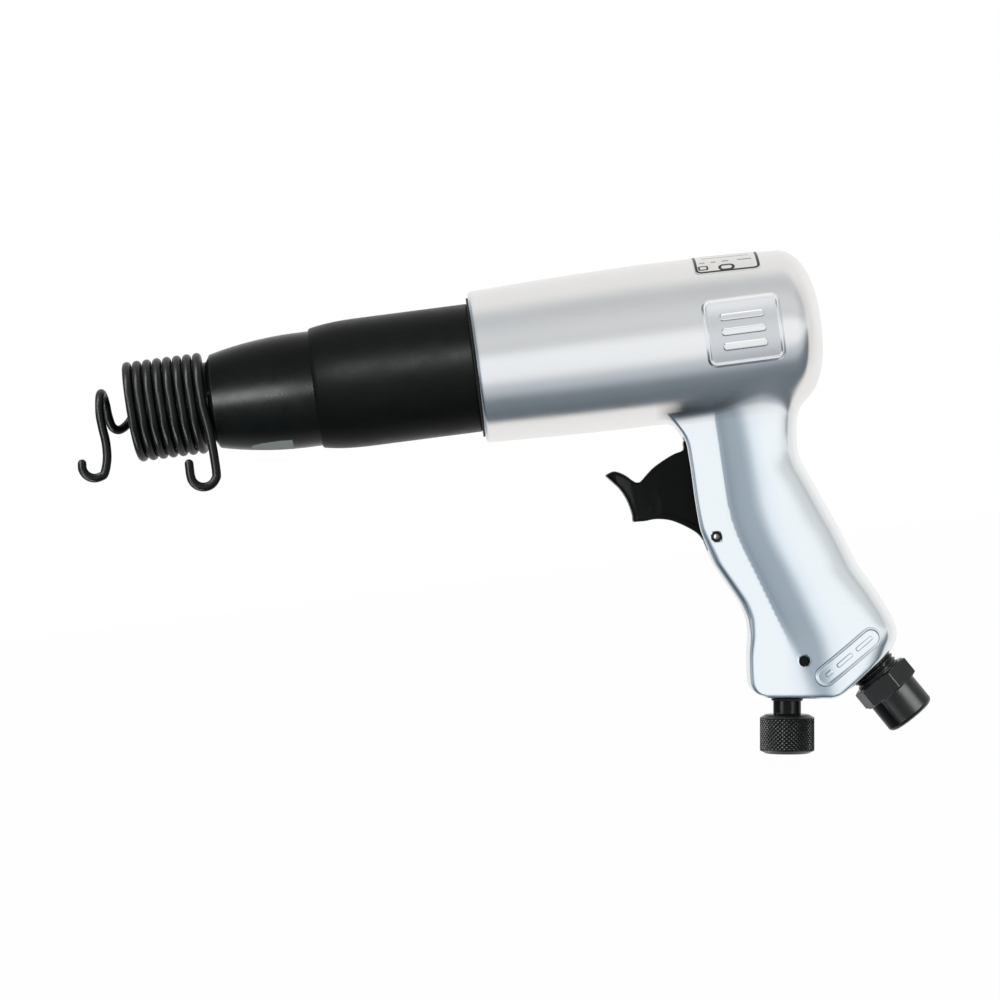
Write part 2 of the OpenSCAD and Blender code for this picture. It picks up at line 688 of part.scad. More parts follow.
// Coil of round wire with a loop round the chisel and a hook in front, and a tail to turn it by
module retainer_spring() {
    r = retainer_coil_d / 2;
    steps = 24;
    first_top_x = -0.6;
    start_angle = -90;
    end_angle = 7 * 360 + 90;
    loop_r = 7.7;
    loop_back = -9.8;
    loop_width = 1.3;
    coil = [for (i = [0 : (end_angle - start_angle) / 15]) let (a = start_angle + 15 * i)
        [first_top_x + retainer_pitch * a / 360, -r * sin(a), r * cos(a)]];
    finish = [first_top_x + retainer_pitch * end_angle / 360, -r, 0];
    hook = [-15.1, -loop_r, -16.6];
    hook_r = 4.3;
    tail_r = 4.4;
    tail = [finish[0] + 1.9 - tail_r, -r, -24.4];
    front = smooth(concat(
        [for (a = [-15 : 25 : 135]) hook + hook_r * [-cos(a), 0, -sin(a)]],
        [[-10.6, -loop_r, -15], [-10.3, -loop_r, -9.5], [-10.8, -loop_r, -4.5]],
        [for (a = [0 : 30 : 180]) [loop_back - loop_width * (1 - a / 180), -loop_r * cos(a), loop_r * sin(a)]],
        [[-9.1, 9.6, -3.7], [-7.4, 11.4, -5.1], [-5.4, 13.3, -4.4], [-3.4, 15, -2.6]]), 3);
    back = smooth(concat(
        [finish + [0.1, 0, -2], finish + [1.1, 0, -9], finish + [1.7, 0, -16]],
        [for (a = [0 : 30 : 180]) tail + tail_r * [cos(a), 0, -sin(a)]],
        [tail + [-tail_r, 0, 4.1]]), 3);
    color([0.04, 0.04, 0.045]) wire(concat(front, coil, back), retainer_wire_d, 10);
}

handle_housing();
rating_label();
barrel();
exhaust_sleeve();
sleeve_seal();
sleeve_o_ring();
barrel_o_ring();
piston();
valve_seat();
valve_disc();
valve_case();
valve_dowels();
valve_spring_washer();
trigger();
trigger_pin();
throttle_plunger();
throttle_bushing();
throttle_bushing_o_ring();
throttle_valve();
throttle_valve_seal();
throttle_spring();
regulator_spool();
regulator_o_ring();
regulator_dust_ring();
regulator_pin();
regulator_knob();
knob_set_screw();
inlet_bushing();
inlet_screen();
retainer_spring();
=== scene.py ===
import math
import bpy
import numpy as np
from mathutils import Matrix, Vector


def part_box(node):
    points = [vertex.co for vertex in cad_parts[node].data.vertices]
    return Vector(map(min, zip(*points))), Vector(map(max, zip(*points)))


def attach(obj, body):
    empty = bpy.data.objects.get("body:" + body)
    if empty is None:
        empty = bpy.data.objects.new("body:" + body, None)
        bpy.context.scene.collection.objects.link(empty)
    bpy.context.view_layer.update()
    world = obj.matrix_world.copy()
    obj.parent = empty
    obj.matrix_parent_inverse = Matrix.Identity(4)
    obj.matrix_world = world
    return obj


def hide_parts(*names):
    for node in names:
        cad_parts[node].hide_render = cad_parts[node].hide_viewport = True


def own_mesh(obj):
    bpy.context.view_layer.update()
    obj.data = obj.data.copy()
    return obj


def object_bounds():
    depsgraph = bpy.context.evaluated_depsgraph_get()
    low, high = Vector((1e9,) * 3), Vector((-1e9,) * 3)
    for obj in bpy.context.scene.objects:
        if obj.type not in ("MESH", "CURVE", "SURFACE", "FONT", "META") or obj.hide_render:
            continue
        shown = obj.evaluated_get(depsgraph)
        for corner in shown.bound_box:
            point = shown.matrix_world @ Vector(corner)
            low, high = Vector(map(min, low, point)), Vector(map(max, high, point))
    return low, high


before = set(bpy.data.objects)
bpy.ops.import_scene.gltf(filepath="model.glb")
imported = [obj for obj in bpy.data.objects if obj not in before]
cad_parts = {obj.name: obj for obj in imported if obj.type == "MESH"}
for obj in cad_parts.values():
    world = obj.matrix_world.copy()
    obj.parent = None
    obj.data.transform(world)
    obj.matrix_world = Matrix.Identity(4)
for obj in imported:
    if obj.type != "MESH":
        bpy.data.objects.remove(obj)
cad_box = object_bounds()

import openvdb
from mathutils import Matrix, Vector

# Shapes below are in millimetres and go to metres in add_mesh.
MM = 0.001
TURN = 2 * math.pi


def cosd(degrees):
    return math.cos(math.radians(degrees))


def sind(degrees):
    return math.sin(math.radians(degrees))


def low(node, axis):
    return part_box(node)[0][axis] / MM


def high(node, axis):
    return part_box(node)[1][axis] / MM


HOUSING_X = low("handle_housing", 0)
SLEEVE_X = (low("exhaust_sleeve", 0), high("exhaust_sleeve", 0))

# ---------- meshes ----------


def add_mesh(name, points, faces, material, body, node, slot, normals=None, sharp=None):
    """A piece from points in mm and faces as index lists, in place of a CAD node."""
    mesh = bpy.data.meshes.new(name)
    mesh.from_pydata((np.asarray(points, dtype=float) * MM).tolist(), [], faces)
    mesh.update()
    mesh.shade_smooth()
    if sharp:
        mesh.set_sharp_from_angle(angle=math.radians(sharp))
    if normals is not None:
        mesh.normals_split_custom_set_from_vertices(np.asarray(normals).tolist())
    mesh.materials.append(material)
    piece = bpy.data.objects.new(name, mesh)
    bpy.context.scene.collection.objects.link(piece)
    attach(piece, body)
    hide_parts(node)
    return piece


def outwards(points, faces):
    """The faces, flipped if they enclose a negative volume."""
    total = 0.0
    for face in faces:
        a = points[face[0]]
        for i in range(1, len(face) - 1):
            b, c = points[face[i]], points[face[i + 1]]
            total += (a[0] * (b[1] * c[2] - b[2] * c[1]) + a[1] * (b[2] * c[0] - b[0] * c[2])
                      + a[2] * (b[0] * c[1] - b[1] * c[0]))
    return faces if total > 0 else [face[::-1] for face in faces]


def axis_frame(origin, lean):
    """Maps (across, sideways, along) of an axis that leans by an angle about Y to the row frame."""
    c, s = cosd(lean), sind(lean)
    basis = np.array([[c, 0, s], [0, 1, 0], [-s, 0, c]])
    start = np.asarray(origin, dtype=float)
    return lambda p: start + np.asarray(p) @ basis.T


def eased(outline, cut=0.25, steps=3, closed=True):
    """An outline with its corners rounded, and a point on each side that keeps the flats flat."""
    pts = [np.asarray(p, dtype=float) for p in outline]
    out = []
    n = len(pts)
    for i, p in enumerate(pts):
        if not closed and i in (0, n - 1):
            out.append(p)
            continue
        a, b = pts[i - 1], pts[(i + 1) % n]
        la, lb = np.linalg.norm(a - p), np.linalg.norm(b - p)
        da, db = (a - p) / la, (b - p) / lb
        if np.dot(da, db) < -0.97:
            out.append(p)
            continue
        c = min(cut, 0.38 * la, 0.38 * lb)
        out.append(p + da * min(c * 1.5, 0.45 * la))
        for k in range(steps + 1):
            t = k / steps
            out.append((1 - t) ** 2 * (p + da * c) + 2 * t * (1 - t) * p + t * t * (p + db * c))
        out.append(p + db * min(c * 1.5, 0.45 * lb))
    return out


def band(rings, n, wrap=False):
    """Quads between neighbouring rings of n points, and from the last ring back to the first if wrap."""
    return [[i * n + k, i * n + (k + 1) % n, (i + 1) % rings * n + (k + 1) % n, (i + 1) % rings * n + k]
            for i in range(rings if wrap else rings - 1) for k in range(n)]


def lathe(outline, place, n=96, shape=None, closed=True):
    """Points and faces of a solid turned about an axis. The outline is [along, radius], and
    shape(along, angle, radius) may change each radius. An open outline starts and ends on the axis."""
    s = np.array([p[0] for p in outline])
    r = np.array([p[1] for p in outline])
    angle = np.arange(n) * TURN / n
    along = np.repeat(s[:, None], n, 1)
    radius = np.repeat(r[:, None], n, 1)
    if shape:
        radius = shape(along, np.repeat(angle[None, :], len(s), 0), radius)
    grid = np.stack([radius * np.cos(angle), radius * np.sin(angle), along], -1)
    m = len(s)
    if closed:
        points = grid.reshape(-1, 3)
        faces = band(m, n, wrap=True)
    else:
        inner = grid[1:-1].reshape(-1, 3)
        points = np.vstack([inner, grid[0, :1], grid[-1, :1]])
        first, last = len(inner), len(inner) + 1
        faces = band(m - 2, n)
        faces += [[first, (k + 1) % n, k] for k in range(n)]
        faces += [[last, (m - 3) * n + k, (m - 3) * n + (k + 1) % n] for k in range(n)]
    points = place(points)
    return points, outwards(points, faces)


def turned(name, outline, place, n, material, body, node, slot, shape=None, closed=True, sharp=32):
    """A piece turned about an axis."""
    points, faces = lathe(outline, place, n, shape, closed)
    return add_mesh(name, points, faces, material, body, node, slot, sharp=sharp)


def along_x(p):
    """Turning axis along X: (across, sideways, along) to (x, y, z)."""
    p = np.asarray(p)
    return np.stack([p[..., 2], p[..., 0], p[..., 1]], -1)


def along_y(x, z):
    """Turning axis along Y through (x, z)."""
    return lambda p: np.stack([x + p[..., 0], p[..., 2], z + p[..., 1]], -1)


def catmull(points, steps):
    """A smooth path through points."""
    p = [np.asarray(q, dtype=float) for q in points]
    p = [2 * p[0] - p[1]] + p + [2 * p[-1] - p[-2]]
    out = []
    for a, b, c, d in zip(p, p[1:], p[2:], p[3:]):
        for k in range(steps):
            t = k / steps
            out.append(0.5 * (2 * b + (c - a) * t + (2 * a - 5 * b + 4 * c - d) * t * t
                              + (3 * b - a - 3 * c + d) * t ** 3))
    return out + [p[-2]]


def wire(path, radius, sides=20):
    """Round wire along a path, with rounded ends."""
    path = [np.asarray(p, dtype=float) for p in path]
    along = [b - a for a, b in zip([path[0]] + path[:-1], path[1:] + [path[-1]])]
    along = [v / np.linalg.norm(v) for v in along]
    across = np.cross(along[0], [0.0, 0.0, 1.0])
    if np.linalg.norm(across) < 0.1:
        across = np.cross(along[0], [0.0, 1.0, 0.0])
    rings = []
    cap = [math.radians(a) for a in (90, 75, 55, 35, 15)]
    for i, (p, t) in enumerate(zip(path, along)):
        across = across - np.dot(across, t) * t
        across /= np.linalg.norm(across)
        side = np.cross(t, across)
        if i == 0:
            rings += [(p - t * radius * math.sin(a), radius * math.cos(a), across, side) for a in cap]
        rings.append((p, radius, across, side))
        if i == len(path) - 1:
            rings += [(p + t * radius * math.sin(a), radius * math.cos(a), across, side) for a in cap[::-1]]
    points, faces = [rings[0][0]], []
    for centre, r, u, v in rings[1:-1]:
        points += [centre + r * (math.cos(TURN * k / sides) * u + math.sin(TURN * k / sides) * v)
                   for k in range(sides)]
    points.append(rings[-1][0])
    count = len(rings) - 2
    for k in range(sides):
        n = (k + 1) % sides
        faces.append([0, 1 + n, 1 + k])
        faces.append([len(points) - 1, 1 + (count - 1) * sides + k, 1 + (count - 1) * sides + n])
        for i in range(count - 1):
            a, b = 1 + i * sides, 1 + (i + 1) * sides
            faces.append([a + k, a + n, b + n, b + k])
    points = np.array(points)
    return points, outwards(points, faces)


# ---------- solids from distance functions ----------


def smin(a, b, k):
    """Union with a fillet about k wide."""
    h = np.maximum(k - np.abs(a - b), 0) / k
    return np.minimum(a, b) - h * h * k / 4


def smax(a, b, k):
    return -smin(-a, -b, k)


def superellipse(du, dv, a, b, power):
    """First-order distance from a superellipse with half sizes a and b."""
    t = np.abs(du) / a + 1e-6
    s = np.abs(dv) / b + 1e-6
    q = (t ** power + s ** power) ** (1 / power)
    slope = q ** (1 - power) * np.hypot(t ** (power - 1) / a, s ** (power - 1) / b)
    return (q - 1) / slope


def curve(points, blur):
    """Smooth lookup through [position, value] points."""
    step = 0.1
    xs, ys = np.array(sorted(points), dtype=float).T
    x = np.arange(xs[0] - 4 * blur, xs[-1] + 4 * blur, step)
    reach = int(4 * blur / step)
    kernel = np.exp(-0.5 * (np.arange(-reach, reach + 1) * step / blur) ** 2)
    padded = np.pad(np.interp(x, xs, ys), reach, mode="edge")
    y = np.convolve(padded, kernel / kernel.sum(), mode="valid")
    return lambda v: np.interp(v, x, y)


def rod(along, across, start, end, radius):
    return np.maximum(across - radius, np.abs(along - (start + end) / 2) - (end - start) / 2)


def polygon_distance(u, v, outline):
    """Signed distance from a closed outline in a plane."""
    pts = np.asarray(outline, dtype=float)
    best = np.full(u.shape, 1e9)
    inside = np.zeros(u.shape, dtype=bool)
    for (ax, ay), (bx, by) in zip(pts, np.roll(pts, -1, 0)):
        ex, ey = bx - ax, by - ay
        t = np.clip(((u - ax) * ex + (v - ay) * ey) / (ex * ex + ey * ey), 0, 1)
        best = np.minimum(best, (u - ax - t * ex) ** 2 + (v - ay - t * ey) ** 2)
        crosses = (ay > v) != (by > v)
        if ay != by:
            inside ^= crosses & (u < ex * (v - ay) / (by - ay) + ax)
    return np.where(inside, -1.0, 1.0) * np.sqrt(best)


def gradient(fn, p, h=0.04):
    g = np.empty_like(p)
    for axis in range(3):
        d = np.zeros(3)
        d[axis] = h
        a, b = p + d, p - d
        g[:, axis] = (fn(a[:, 0], a[:, 1], a[:, 2]) - fn(b[:, 0], b[:, 1], b[:, 2])) / (2 * h)
    return g


def isosurface(fn, lo, hi, step):
    """Points, quads and normals of fn = 0. The field is only worked out finely near the surface."""
    block = 4
    lo = np.asarray(lo, dtype=float)
    count = np.ceil((np.asarray(hi) - lo) / (step * block)).astype(int)
    axes = [lo[i] + step * np.arange(count[i] * block) for i in range(3)]
    mids = [a.reshape(-1, block).mean(1) for a in axes]
    coarse = fn(mids[0][:, None, None], mids[1][None, :, None], mids[2][None, None, :])
    field = coarse
    for axis in range(3):
        field = np.repeat(field, block, axis)
    field = np.ascontiguousarray(field, dtype=np.float32)
    near = np.argwhere(np.abs(coarse) < step * block * 1.6) * block
    inner = np.stack(np.meshgrid(*[np.arange(block)] * 3, indexing="ij"), -1).reshape(-1, 3)
    cells = (near[:, None, :] + inner).reshape(-1, 3)
    at = [axes[i][cells[:, i]] for i in range(3)]
    field[cells[:, 0], cells[:, 1], cells[:, 2]] = fn(*at)
    grid = openvdb.FloatGrid(background=3.0)
    grid.copyFromArray(field)
    points, quads = grid.convertToQuads(isovalue=0.0)
    p = lo + points.astype(float) * step
    for _ in range(3):
        g = gradient(fn, p)
        d = fn(p[:, 0], p[:, 1], p[:, 2])
        move = -d[:, None] * g / np.maximum((g * g).sum(1), 0.05)[:, None]
        size = np.linalg.norm(move, axis=1)
        p += move * np.minimum(1, 0.6 * step / np.maximum(size, 1e-9))[:, None]
    g = gradient(fn, p)
    normals = g / np.maximum(np.linalg.norm(g, axis=1), 1e-9)[:, None]
    quads = quads.astype(int)
    a, b, c = p[quads[:, 0]], p[quads[:, 1]], p[quads[:, 2]]
    if (np.cross(b - a, c - a) * normals[quads[:, 0]]).sum() < 0:
        quads = quads[:, ::-1]
    return p, quads, normals


# ---------- materials ----------


class Nodes:
    """Makes and links nodes in one tree."""

    def __init__(self, tree):
        self.tree = tree

    def node(self, kind, inputs=(), **settings):
        """A node with its settings, and its inputs set or linked by name or number."""
        made = self.tree.nodes.new(kind)
        for key, value in settings.items():
            setattr(made, key, value)
        for key, value in dict(inputs).items():
            self.put(made.inputs[key], value)
        return made

    def put(self, target, value):
        if isinstance(value, bpy.types.NodeSocket):
            self.tree.links.new(value, target)
        else:
            target.default_value = value

    def math(self, operation, *values):
        return self.node("ShaderNodeMath", enumerate(values), operation=operation).outputs[0]


class Shader(Nodes):
    """Builds one node material on the piece's own coordinates, in millimetres."""

    def __init__(self, name):
        self.material = bpy.data.materials.new(name)
        self.material.use_nodes = True
        super().__init__(self.material.node_tree)
        self.surface = self.tree.nodes["Principled BSDF"]
        coords = self.node("ShaderNodeTexCoord")
        scale = {0: coords.outputs["Object"], "Scale": 1 / MM}
        self.position = self.node("ShaderNodeVectorMath", scale, operation="SCALE").outputs[0]

    def noise(self, size, detail=3.0, rough=0.5, stretch=None):
        """Noise whose features are about size mm across."""
        source = self.position
        if stretch:
            source = self.node("ShaderNodeMapping", {0: source, "Scale": stretch}).outputs[0]
        return self.node("ShaderNodeTexNoise", {"Vector": source, "Scale": 1 / size, "Detail": detail,
                                                "Roughness": rough}).outputs["Fac"]

    def span(self, value, from_low, from_high, to_low, to_high):
        return self.node("ShaderNodeMapRange", {"Value": value, "From Min": from_low, "From Max": from_high,
                                                "To Min": to_low, "To Max": to_high}).outputs["Result"]

    def mix(self, factor, a, b):
        return self.node("ShaderNodeMix", {"Factor": factor, "A": a, "B": b},
                         data_type="RGBA").outputs["Result"]

    def bump(self, height, depth, normal=None):
        """A bump whose height runs over depth mm, on top of another if given."""
        inputs = {"Height": height, "Distance": depth * MM, "Strength": 1.0}
        if normal:
            inputs["Normal"] = normal
        return self.node("ShaderNodeBump", inputs).outputs["Normal"]

    def grazing(self, low_value, high_value, power):
        """low_value seen face on, rising to high_value at the rim."""
        facing = self.node("ShaderNodeLayerWeight").outputs["Facing"]
        return self.span(self.math("POWER", facing, power), 0.0, 1.0, low_value, high_value)

    def edges(self, start=0.52, end=0.6):
        """1 on convex edges, 0 elsewhere."""
        geometry = self.node("ShaderNodeNewGeometry")
        return self.span(geometry.outputs["Pointiness"], start, end, 0.0, 1.0)

    def finish(self, colour, metallic, roughness, normal=None, **others):
        self.put(self.surface.inputs["Base Color"], colour)
        self.put(self.surface.inputs["Metallic"], metallic)
        self.put(self.surface.inputs["Roughness"], roughness)
        if normal:
            self.put(self.surface.inputs["Normal"], normal)
        for key, value in others.items():
            self.put(self.surface.inputs[key.replace("_", " ")], value)
        return self.material


def rgb(r, g, b):
    return (r, g, b, 1.0)


def cast_alloy():
    """Polished cast aluminium with faint haze and buffing marks, a painted bluer sheen on the grip, and
    painted shade in the hollows where the grip meets the round part.
    """
    s = Shader("cast_alloy_polished")
    cloud = s.noise(14)
    grain = s.noise(0.6, 4, 0.6)
    buff = s.noise(1.2, 3, 0.6, (0.15, 1.0, 1.0))
    parts = s.node("ShaderNodeSeparateXYZ", {0: s.position})
    # Painted reflection: the grip's metal is coloured bluer and brighter than the round part, standing in for
    # the cool light it mirrors
    handle = s.span(parts.outputs[2], -24.0, -34.0, 0.0, 1.0)
    warm = s.mix(cloud, rgb(0.86, 0.865, 0.87), rgb(0.91, 0.915, 0.915))
    painted_cool_sheen = s.mix(cloud, rgb(0.90, 0.95, 0.985), rgb(0.94, 0.985, 1.0))
    colour = s.mix(handle, warm, painted_cool_sheen)
    # Painted shade on each side where the grip runs into the round part, darkening the hollow under it
    painted_hollow_shade = s.span(s.math("ABSOLUTE", s.math("ADD", parts.outputs[2], 24.0)), 0.5, 5.0, 1.0, 0.0)
    behind = s.math("MULTIPLY", s.span(parts.outputs[0], HOUSING_X + 58, HOUSING_X + 66, 0.0, 1.0),
                    s.span(parts.outputs[0], HOUSING_X + 68, HOUSING_X + 104, 0.72, 0.0))
    beside = s.span(s.math("ABSOLUTE", parts.outputs[1]), 7.0, 10.0, 0.0, 1.0)
    painted_hollow_shade = s.math("MULTIPLY", s.math("MULTIPLY", painted_hollow_shade, behind), beside)
    colour = s.mix(painted_hollow_shade, colour, rgb(0.02, 0.025, 0.03))
    rough = s.math("ADD", s.span(cloud, 0.3, 0.7, 0.17, 0.23), s.span(grain, 0.3, 0.7, -0.02, 0.03))
    normal = s.bump(grain, 0.004, s.bump(buff, 0.003))
    return s.finish(colour, 1.0, rough, normal)


def recess_alloy():
    """The finely textured ground inside a raised border."""
    s = Shader("cast_alloy_textured")
    grain = s.noise(0.45, 3, 0.6)
    colour = s.mix(grain, rgb(0.66, 0.67, 0.69), rgb(0.80, 0.81, 0.82))
    return s.finish(colour, 1.0, s.span(grain, 0.3, 0.7, 0.30, 0.42), s.bump(grain, 0.012))


def black_skin(name, tone, rough, shine, grain_mm=0.5, wear=0.5, streak=None, depth=0.004, rim=0.9):
    """Blackened metal or paint: a mottled dark skin with brighter edges."""
    s = Shader(name)
    cloud = s.noise(6, 4)
    grain = s.noise(grain_mm, 4, 0.6, streak)
    skin = s.mix(cloud, rgb(tone * 0.75, tone * 0.95, tone * 0.9), rgb(tone * 1.15, tone * 1.4, tone * 1.3))
    worn = s.math("MULTIPLY", s.edges(), s.math("MULTIPLY", s.span(grain, 0.35, 0.65, 0.2, 1.0), wear))
    colour = s.mix(worn, skin, rgb(0.16, 0.16, 0.165))
    roughness = s.math("ADD", s.span(cloud, 0.3, 0.7, rough - 0.04, rough + 0.05),
                       s.span(grain, 0.3, 0.7, -0.03, 0.04))
    return s.finish(colour, 0.0, roughness, s.bump(grain, depth),
                    Specular_IOR_Level=s.grazing(shine, rim, 5.0))


def grained(name, tones, metallic, roughness, cloud_mm, grain_mm, depth):
    """Two tones in soft clouds, under a fine grain that varies the roughness and the height."""
    s = Shader(name)
    cloud = s.noise(cloud_mm)
    grain = s.noise(grain_mm, 3, 0.6)
    colour = s.mix(cloud, rgb(*tones[0]), rgb(*tones[1]))
    return s.finish(colour, metallic, s.span(grain, 0.3, 0.7, *roughness), s.bump(grain, depth))


def label_film(half_a, half_b, corner):
    """Silver film with a rounded black line and a few plain marks, in the label's own flat coordinates."""
    s = Shader("label_film_plain")
    parts = s.node("ShaderNodeSeparateXYZ", {0: s.node("ShaderNodeUVMap", uv_map="flat_mm").outputs[0]})
    a, b = parts.outputs[0], parts.outputs[1]

    def frame_distance(mid_a, mid_b, size_a, size_b, round_by):
        """Distance from a rounded rectangle, negative inside."""
        qa = s.math("SUBTRACT", s.math("ABSOLUTE", s.math("SUBTRACT", a, mid_a)), size_a - round_by)
        qb = s.math("SUBTRACT", s.math("ABSOLUTE", s.math("SUBTRACT", b, mid_b)), size_b - round_by)
        pa, pb = s.math("MAXIMUM", qa, 0.0), s.math("MAXIMUM", qb, 0.0)
        far = s.math("SQRT", s.math("ADD", s.math("MULTIPLY", pa, pa), s.math("MULTIPLY", pb, pb)))
        near = s.math("MINIMUM", s.math("MAXIMUM", qa, qb), 0.0)
        return s.math("SUBTRACT", s.math("ADD", far, near), round_by)

    def outline(distance, half_width):
        return s.span(s.math("ABSOLUTE", distance), half_width, half_width + 0.08, 1.0, 0.0)

    ink = outline(frame_distance(0.0, 0.0, half_a - 0.75, half_b - 0.85, corner - 0.5), 0.42)
    for side in (-1, 1):
        row = side * half_b
        ink = s.math("MAXIMUM", ink, outline(frame_distance(-8.2, row - side * 3.5, 1.4, 1.1, 0.3), 0.28))
        ink = s.math("MAXIMUM", ink, outline(frame_distance(-0.3, row - side * 2.9, 2.3, 1.5, 1.4), 0.45))
        for mid_a, half in ((-8.2, 0.9), (-4.4, 0.9), (-0.4, 1.1), (6.2, 2.4)):
            bar = s.span(frame_distance(mid_a, row - side * 7.4, half, 0.4, 0.2), 0.0, 0.1, 0.6, 0.0)
            ink = s.math("MAXIMUM", ink, bar)
    for mid_b in (-8.0, -4.0, 0.0, 4.0, 8.0):
        bar = s.span(frame_distance(0.0, mid_b, 8.0, 0.35, 0.2), 0.0, 0.1, 0.55, 0.0)
        ink = s.math("MAXIMUM", ink, bar)
    sheen = s.noise(0.3, 3, 0.6)
    cloud = s.noise(9)
    film = s.mix(cloud, rgb(0.90, 0.90, 0.88), rgb(0.96, 0.96, 0.94))
    colour = s.mix(ink, film, rgb(0.012, 0.014, 0.014))
    return s.finish(colour, s.math("SUBTRACT", 0.75, s.math("MULTIPLY", ink, 0.75)),
                    s.span(sheen, 0.3, 0.7, 0.26, 0.36), s.bump(sheen, 0.003))


ALLOY = cast_alloy()
RECESS = recess_alloy()
BARREL_BLACK = black_skin("barrel_black_satin", 0.0020, 0.30, 0.10, 0.4, 0.3, (0.4, 1.0, 1.0))
SLEEVE_BLACK = black_skin("sleeve_black_matt", 0.0030, 0.42, 0.07, 0.5, 0.15, depth=0.006)
TRIGGER_BLACK = black_skin("trigger_black_paint", 0.0035, 0.36, 0.09, 0.5, 0.15, depth=0.006)
# Milled wrench flats: worn bare metal, whose lighter grey base is partly a painted reflection of light from
# below
FLAT_WORN_AND_SHEEN = black_skin("wrench_flat_worn_and_sheen", 0.10, 0.45, 0.2, 0.5, 0.4, (0.2, 1.0, 1.0), 0.02)
OXIDE_BLACK = black_skin("oxide_black_steel", 0.0060, 0.30, 0.22, 0.35, 0.5)
KNOB_BLACK = black_skin("knob_black_knurled", 0.0030, 0.25, 0.11, 0.35, 0.35, rim=0.4)
WIRE_BLACK = black_skin("wire_black_satin", 0.0025, 0.34, 0.16, 0.6, 0.15, depth=0.003, rim=0.3)
STEEL = grained("bright_steel_ground", [(0.52, 0.53, 0.55), (0.66, 0.67, 0.69)], 1.0, (0.22, 0.34),
                cloud_mm=5, grain_mm=0.25, depth=0.004)
BRASS = grained("valve_brass_turned", [(0.62, 0.44, 0.17), (0.76, 0.57, 0.26)], 1.0, (0.20, 0.36),
                cloud_mm=4, grain_mm=0.25, depth=0.004)
RUBBER = grained("seal_rubber_matt", [(0.012, 0.012, 0.012), (0.03, 0.03, 0.03)], 0.0, (0.5, 0.68),
                 cloud_mm=3, grain_mm=0.3, depth=0.01)

# ---------- housing ----------

DOME_U = 105.0
DOME_LEN = 13.5
DOME_POWER = 2.35
HOUSING_R = 27.6
# The casting's outline: u is along the barrel from the housing's front face, z is up from the barrel's axis.
# Radius of the round part by u, then by z the grip's front and back edge, its half width and its side
round_radius = curve([[-6, 25.9], [5, 26.1], [25, 26.9], [42, 27.3], [62, 27.6], [79, 27.35], [99.5, 26.8],
                      [105, 26.45], [112, 26.3]], 2.5)
grip_front = curve([[-12, 62], [-25, 62.8], [-28.8, 64.8], [-31.7, 66.6], [-35, 67.6], [-44, 67.9],
                    [-53, 67.9], [-60, 68.1], [-65, 68.4], [-70, 69.7], [-77, 71.6], [-85, 75.7],
                    [-91.4, 78.9], [-97, 80.6], [-103, 80.6], [-109, 79.3], [-116, 78.6], [-119.5, 78.4],
                    [-121.8, 79.2], [-123.6, 81], [-125, 84], [-134, 95]], 1.2)
grip_back = curve([[-12, 106.5], [-22, 106.5], [-29, 106.8], [-31.8, 106.2], [-37, 105.3], [-42.4, 105],
                   [-46, 105.6], [-51.2, 107.9], [-63, 112.6], [-69.4, 115.3], [-83, 120], [-92.1, 125],
                   [-100, 128.6], [-105.7, 130.6], [-110, 130.4], [-113, 128.6], [-134, 118]], 1.4)
band_half = curve([[-12, 11.4], [-60, 11.2], [-90, 11.5], [-134, 12]], 3)
crease = curve([[-12, 76.8], [-35, 78.2], [-60, 78.6], [-70, 80.6], [-80, 84.1], [-90, 87.5], [-108, 93.4],
                [-134, 96.5]], 3)
front_ease = curve([[-12, 1.4], [-62, 1.5], [-74, 3.2], [-92, 3.8], [-103, 2.2], [-112, 1.6],
                    [-134, 2.4]], 3)
swell_run = curve([[-12, 11.5], [-35, 12], [-60, 13], [-90, 14], [-110, 14], [-134, 12]], 4)
swell_slope = curve([[-12, 0.36], [-40, 0.38], [-104, 0.38], [-120, 0.37], [-134, 0.34]], 4)
crease_ease = curve([[-12, 1.6], [-92, 1.6], [-106, 2.2], [-116, 4.5], [-134, 8]], 3)
THROTTLE_Z = -46.0
THROTTLE_R = 4.75
PIVOT = (73.4, -67.8)
PIVOT_R = 1.65
REG = (90.8, -125.5)
REG_TILT = 7.4
REG_PIN = (5.0, 12.8, 1.75)
INLET = (120.8, -118.9)
INLET_TURN = 180 - 31.9
SLOT_HALF = 4.75
SLOT = (50.0, 79.0, -72.0, -33.0)
SPOOL_R = 6.0
AIR_R = 2.2
# Half length of a hole right across the casting
CLEAR = 30


def across_axis(u, y, z, origin, lean):
    """Distance along a leaning axis, across it within the middle plane, and from it."""
    c, s = cosd(lean), sind(lean)
    du, dz = u - origin[0], z - origin[1]
    along = du * s + dz * c
    across = du * c - dz * s
    return along, across, np.hypot(across, y)


def casting(x, y, z):
    """Outside of the housing."""
    u = x - HOUSING_X
    rho = np.hypot(y, z)
    end_r = float(round_radius(DOME_U))
    tube = rho - round_radius(u)
    dome = superellipse(np.maximum(u - DOME_U, 0), rho, DOME_LEN, end_r, DOME_POWER)
    body = smax(np.where(u > DOME_U, dome, tube), -u, 1.8)
    front = grip_front(z)
    back = grip_back(z)
    # The side is flat behind the front edge, then climbs from a crease to the palm swell
    behind = u - crease(z)
    climb = smax(behind, 0, crease_ease(z)) - smax(behind - swell_run(z), 0, 5.5)
    lip = 0.4 * (1 - np.exp(-np.maximum(behind, 0) / 2.2)) * np.clip((z + 112) / 16, 0, 1)
    side = (np.abs(y) - band_half(z) - swell_slope(z) * climb - lip) * 0.94
    grip = smax(smax(side, front - u, front_ease(z)), u - back, 14.0)
    grip = smax(grip, z + 14, 1.0)
    reg_s = across_axis(u, y, z, REG, REG_TILT)[0]
    inlet_s = across_axis(u, y, z, INLET, INLET_TURN)[0]
    grip = smax(smax(grip, -reg_s, 2.0), inlet_s, 2.0)
    return smin(body, grip, np.interp(u, [80, 96], [3.2, 5.5]))


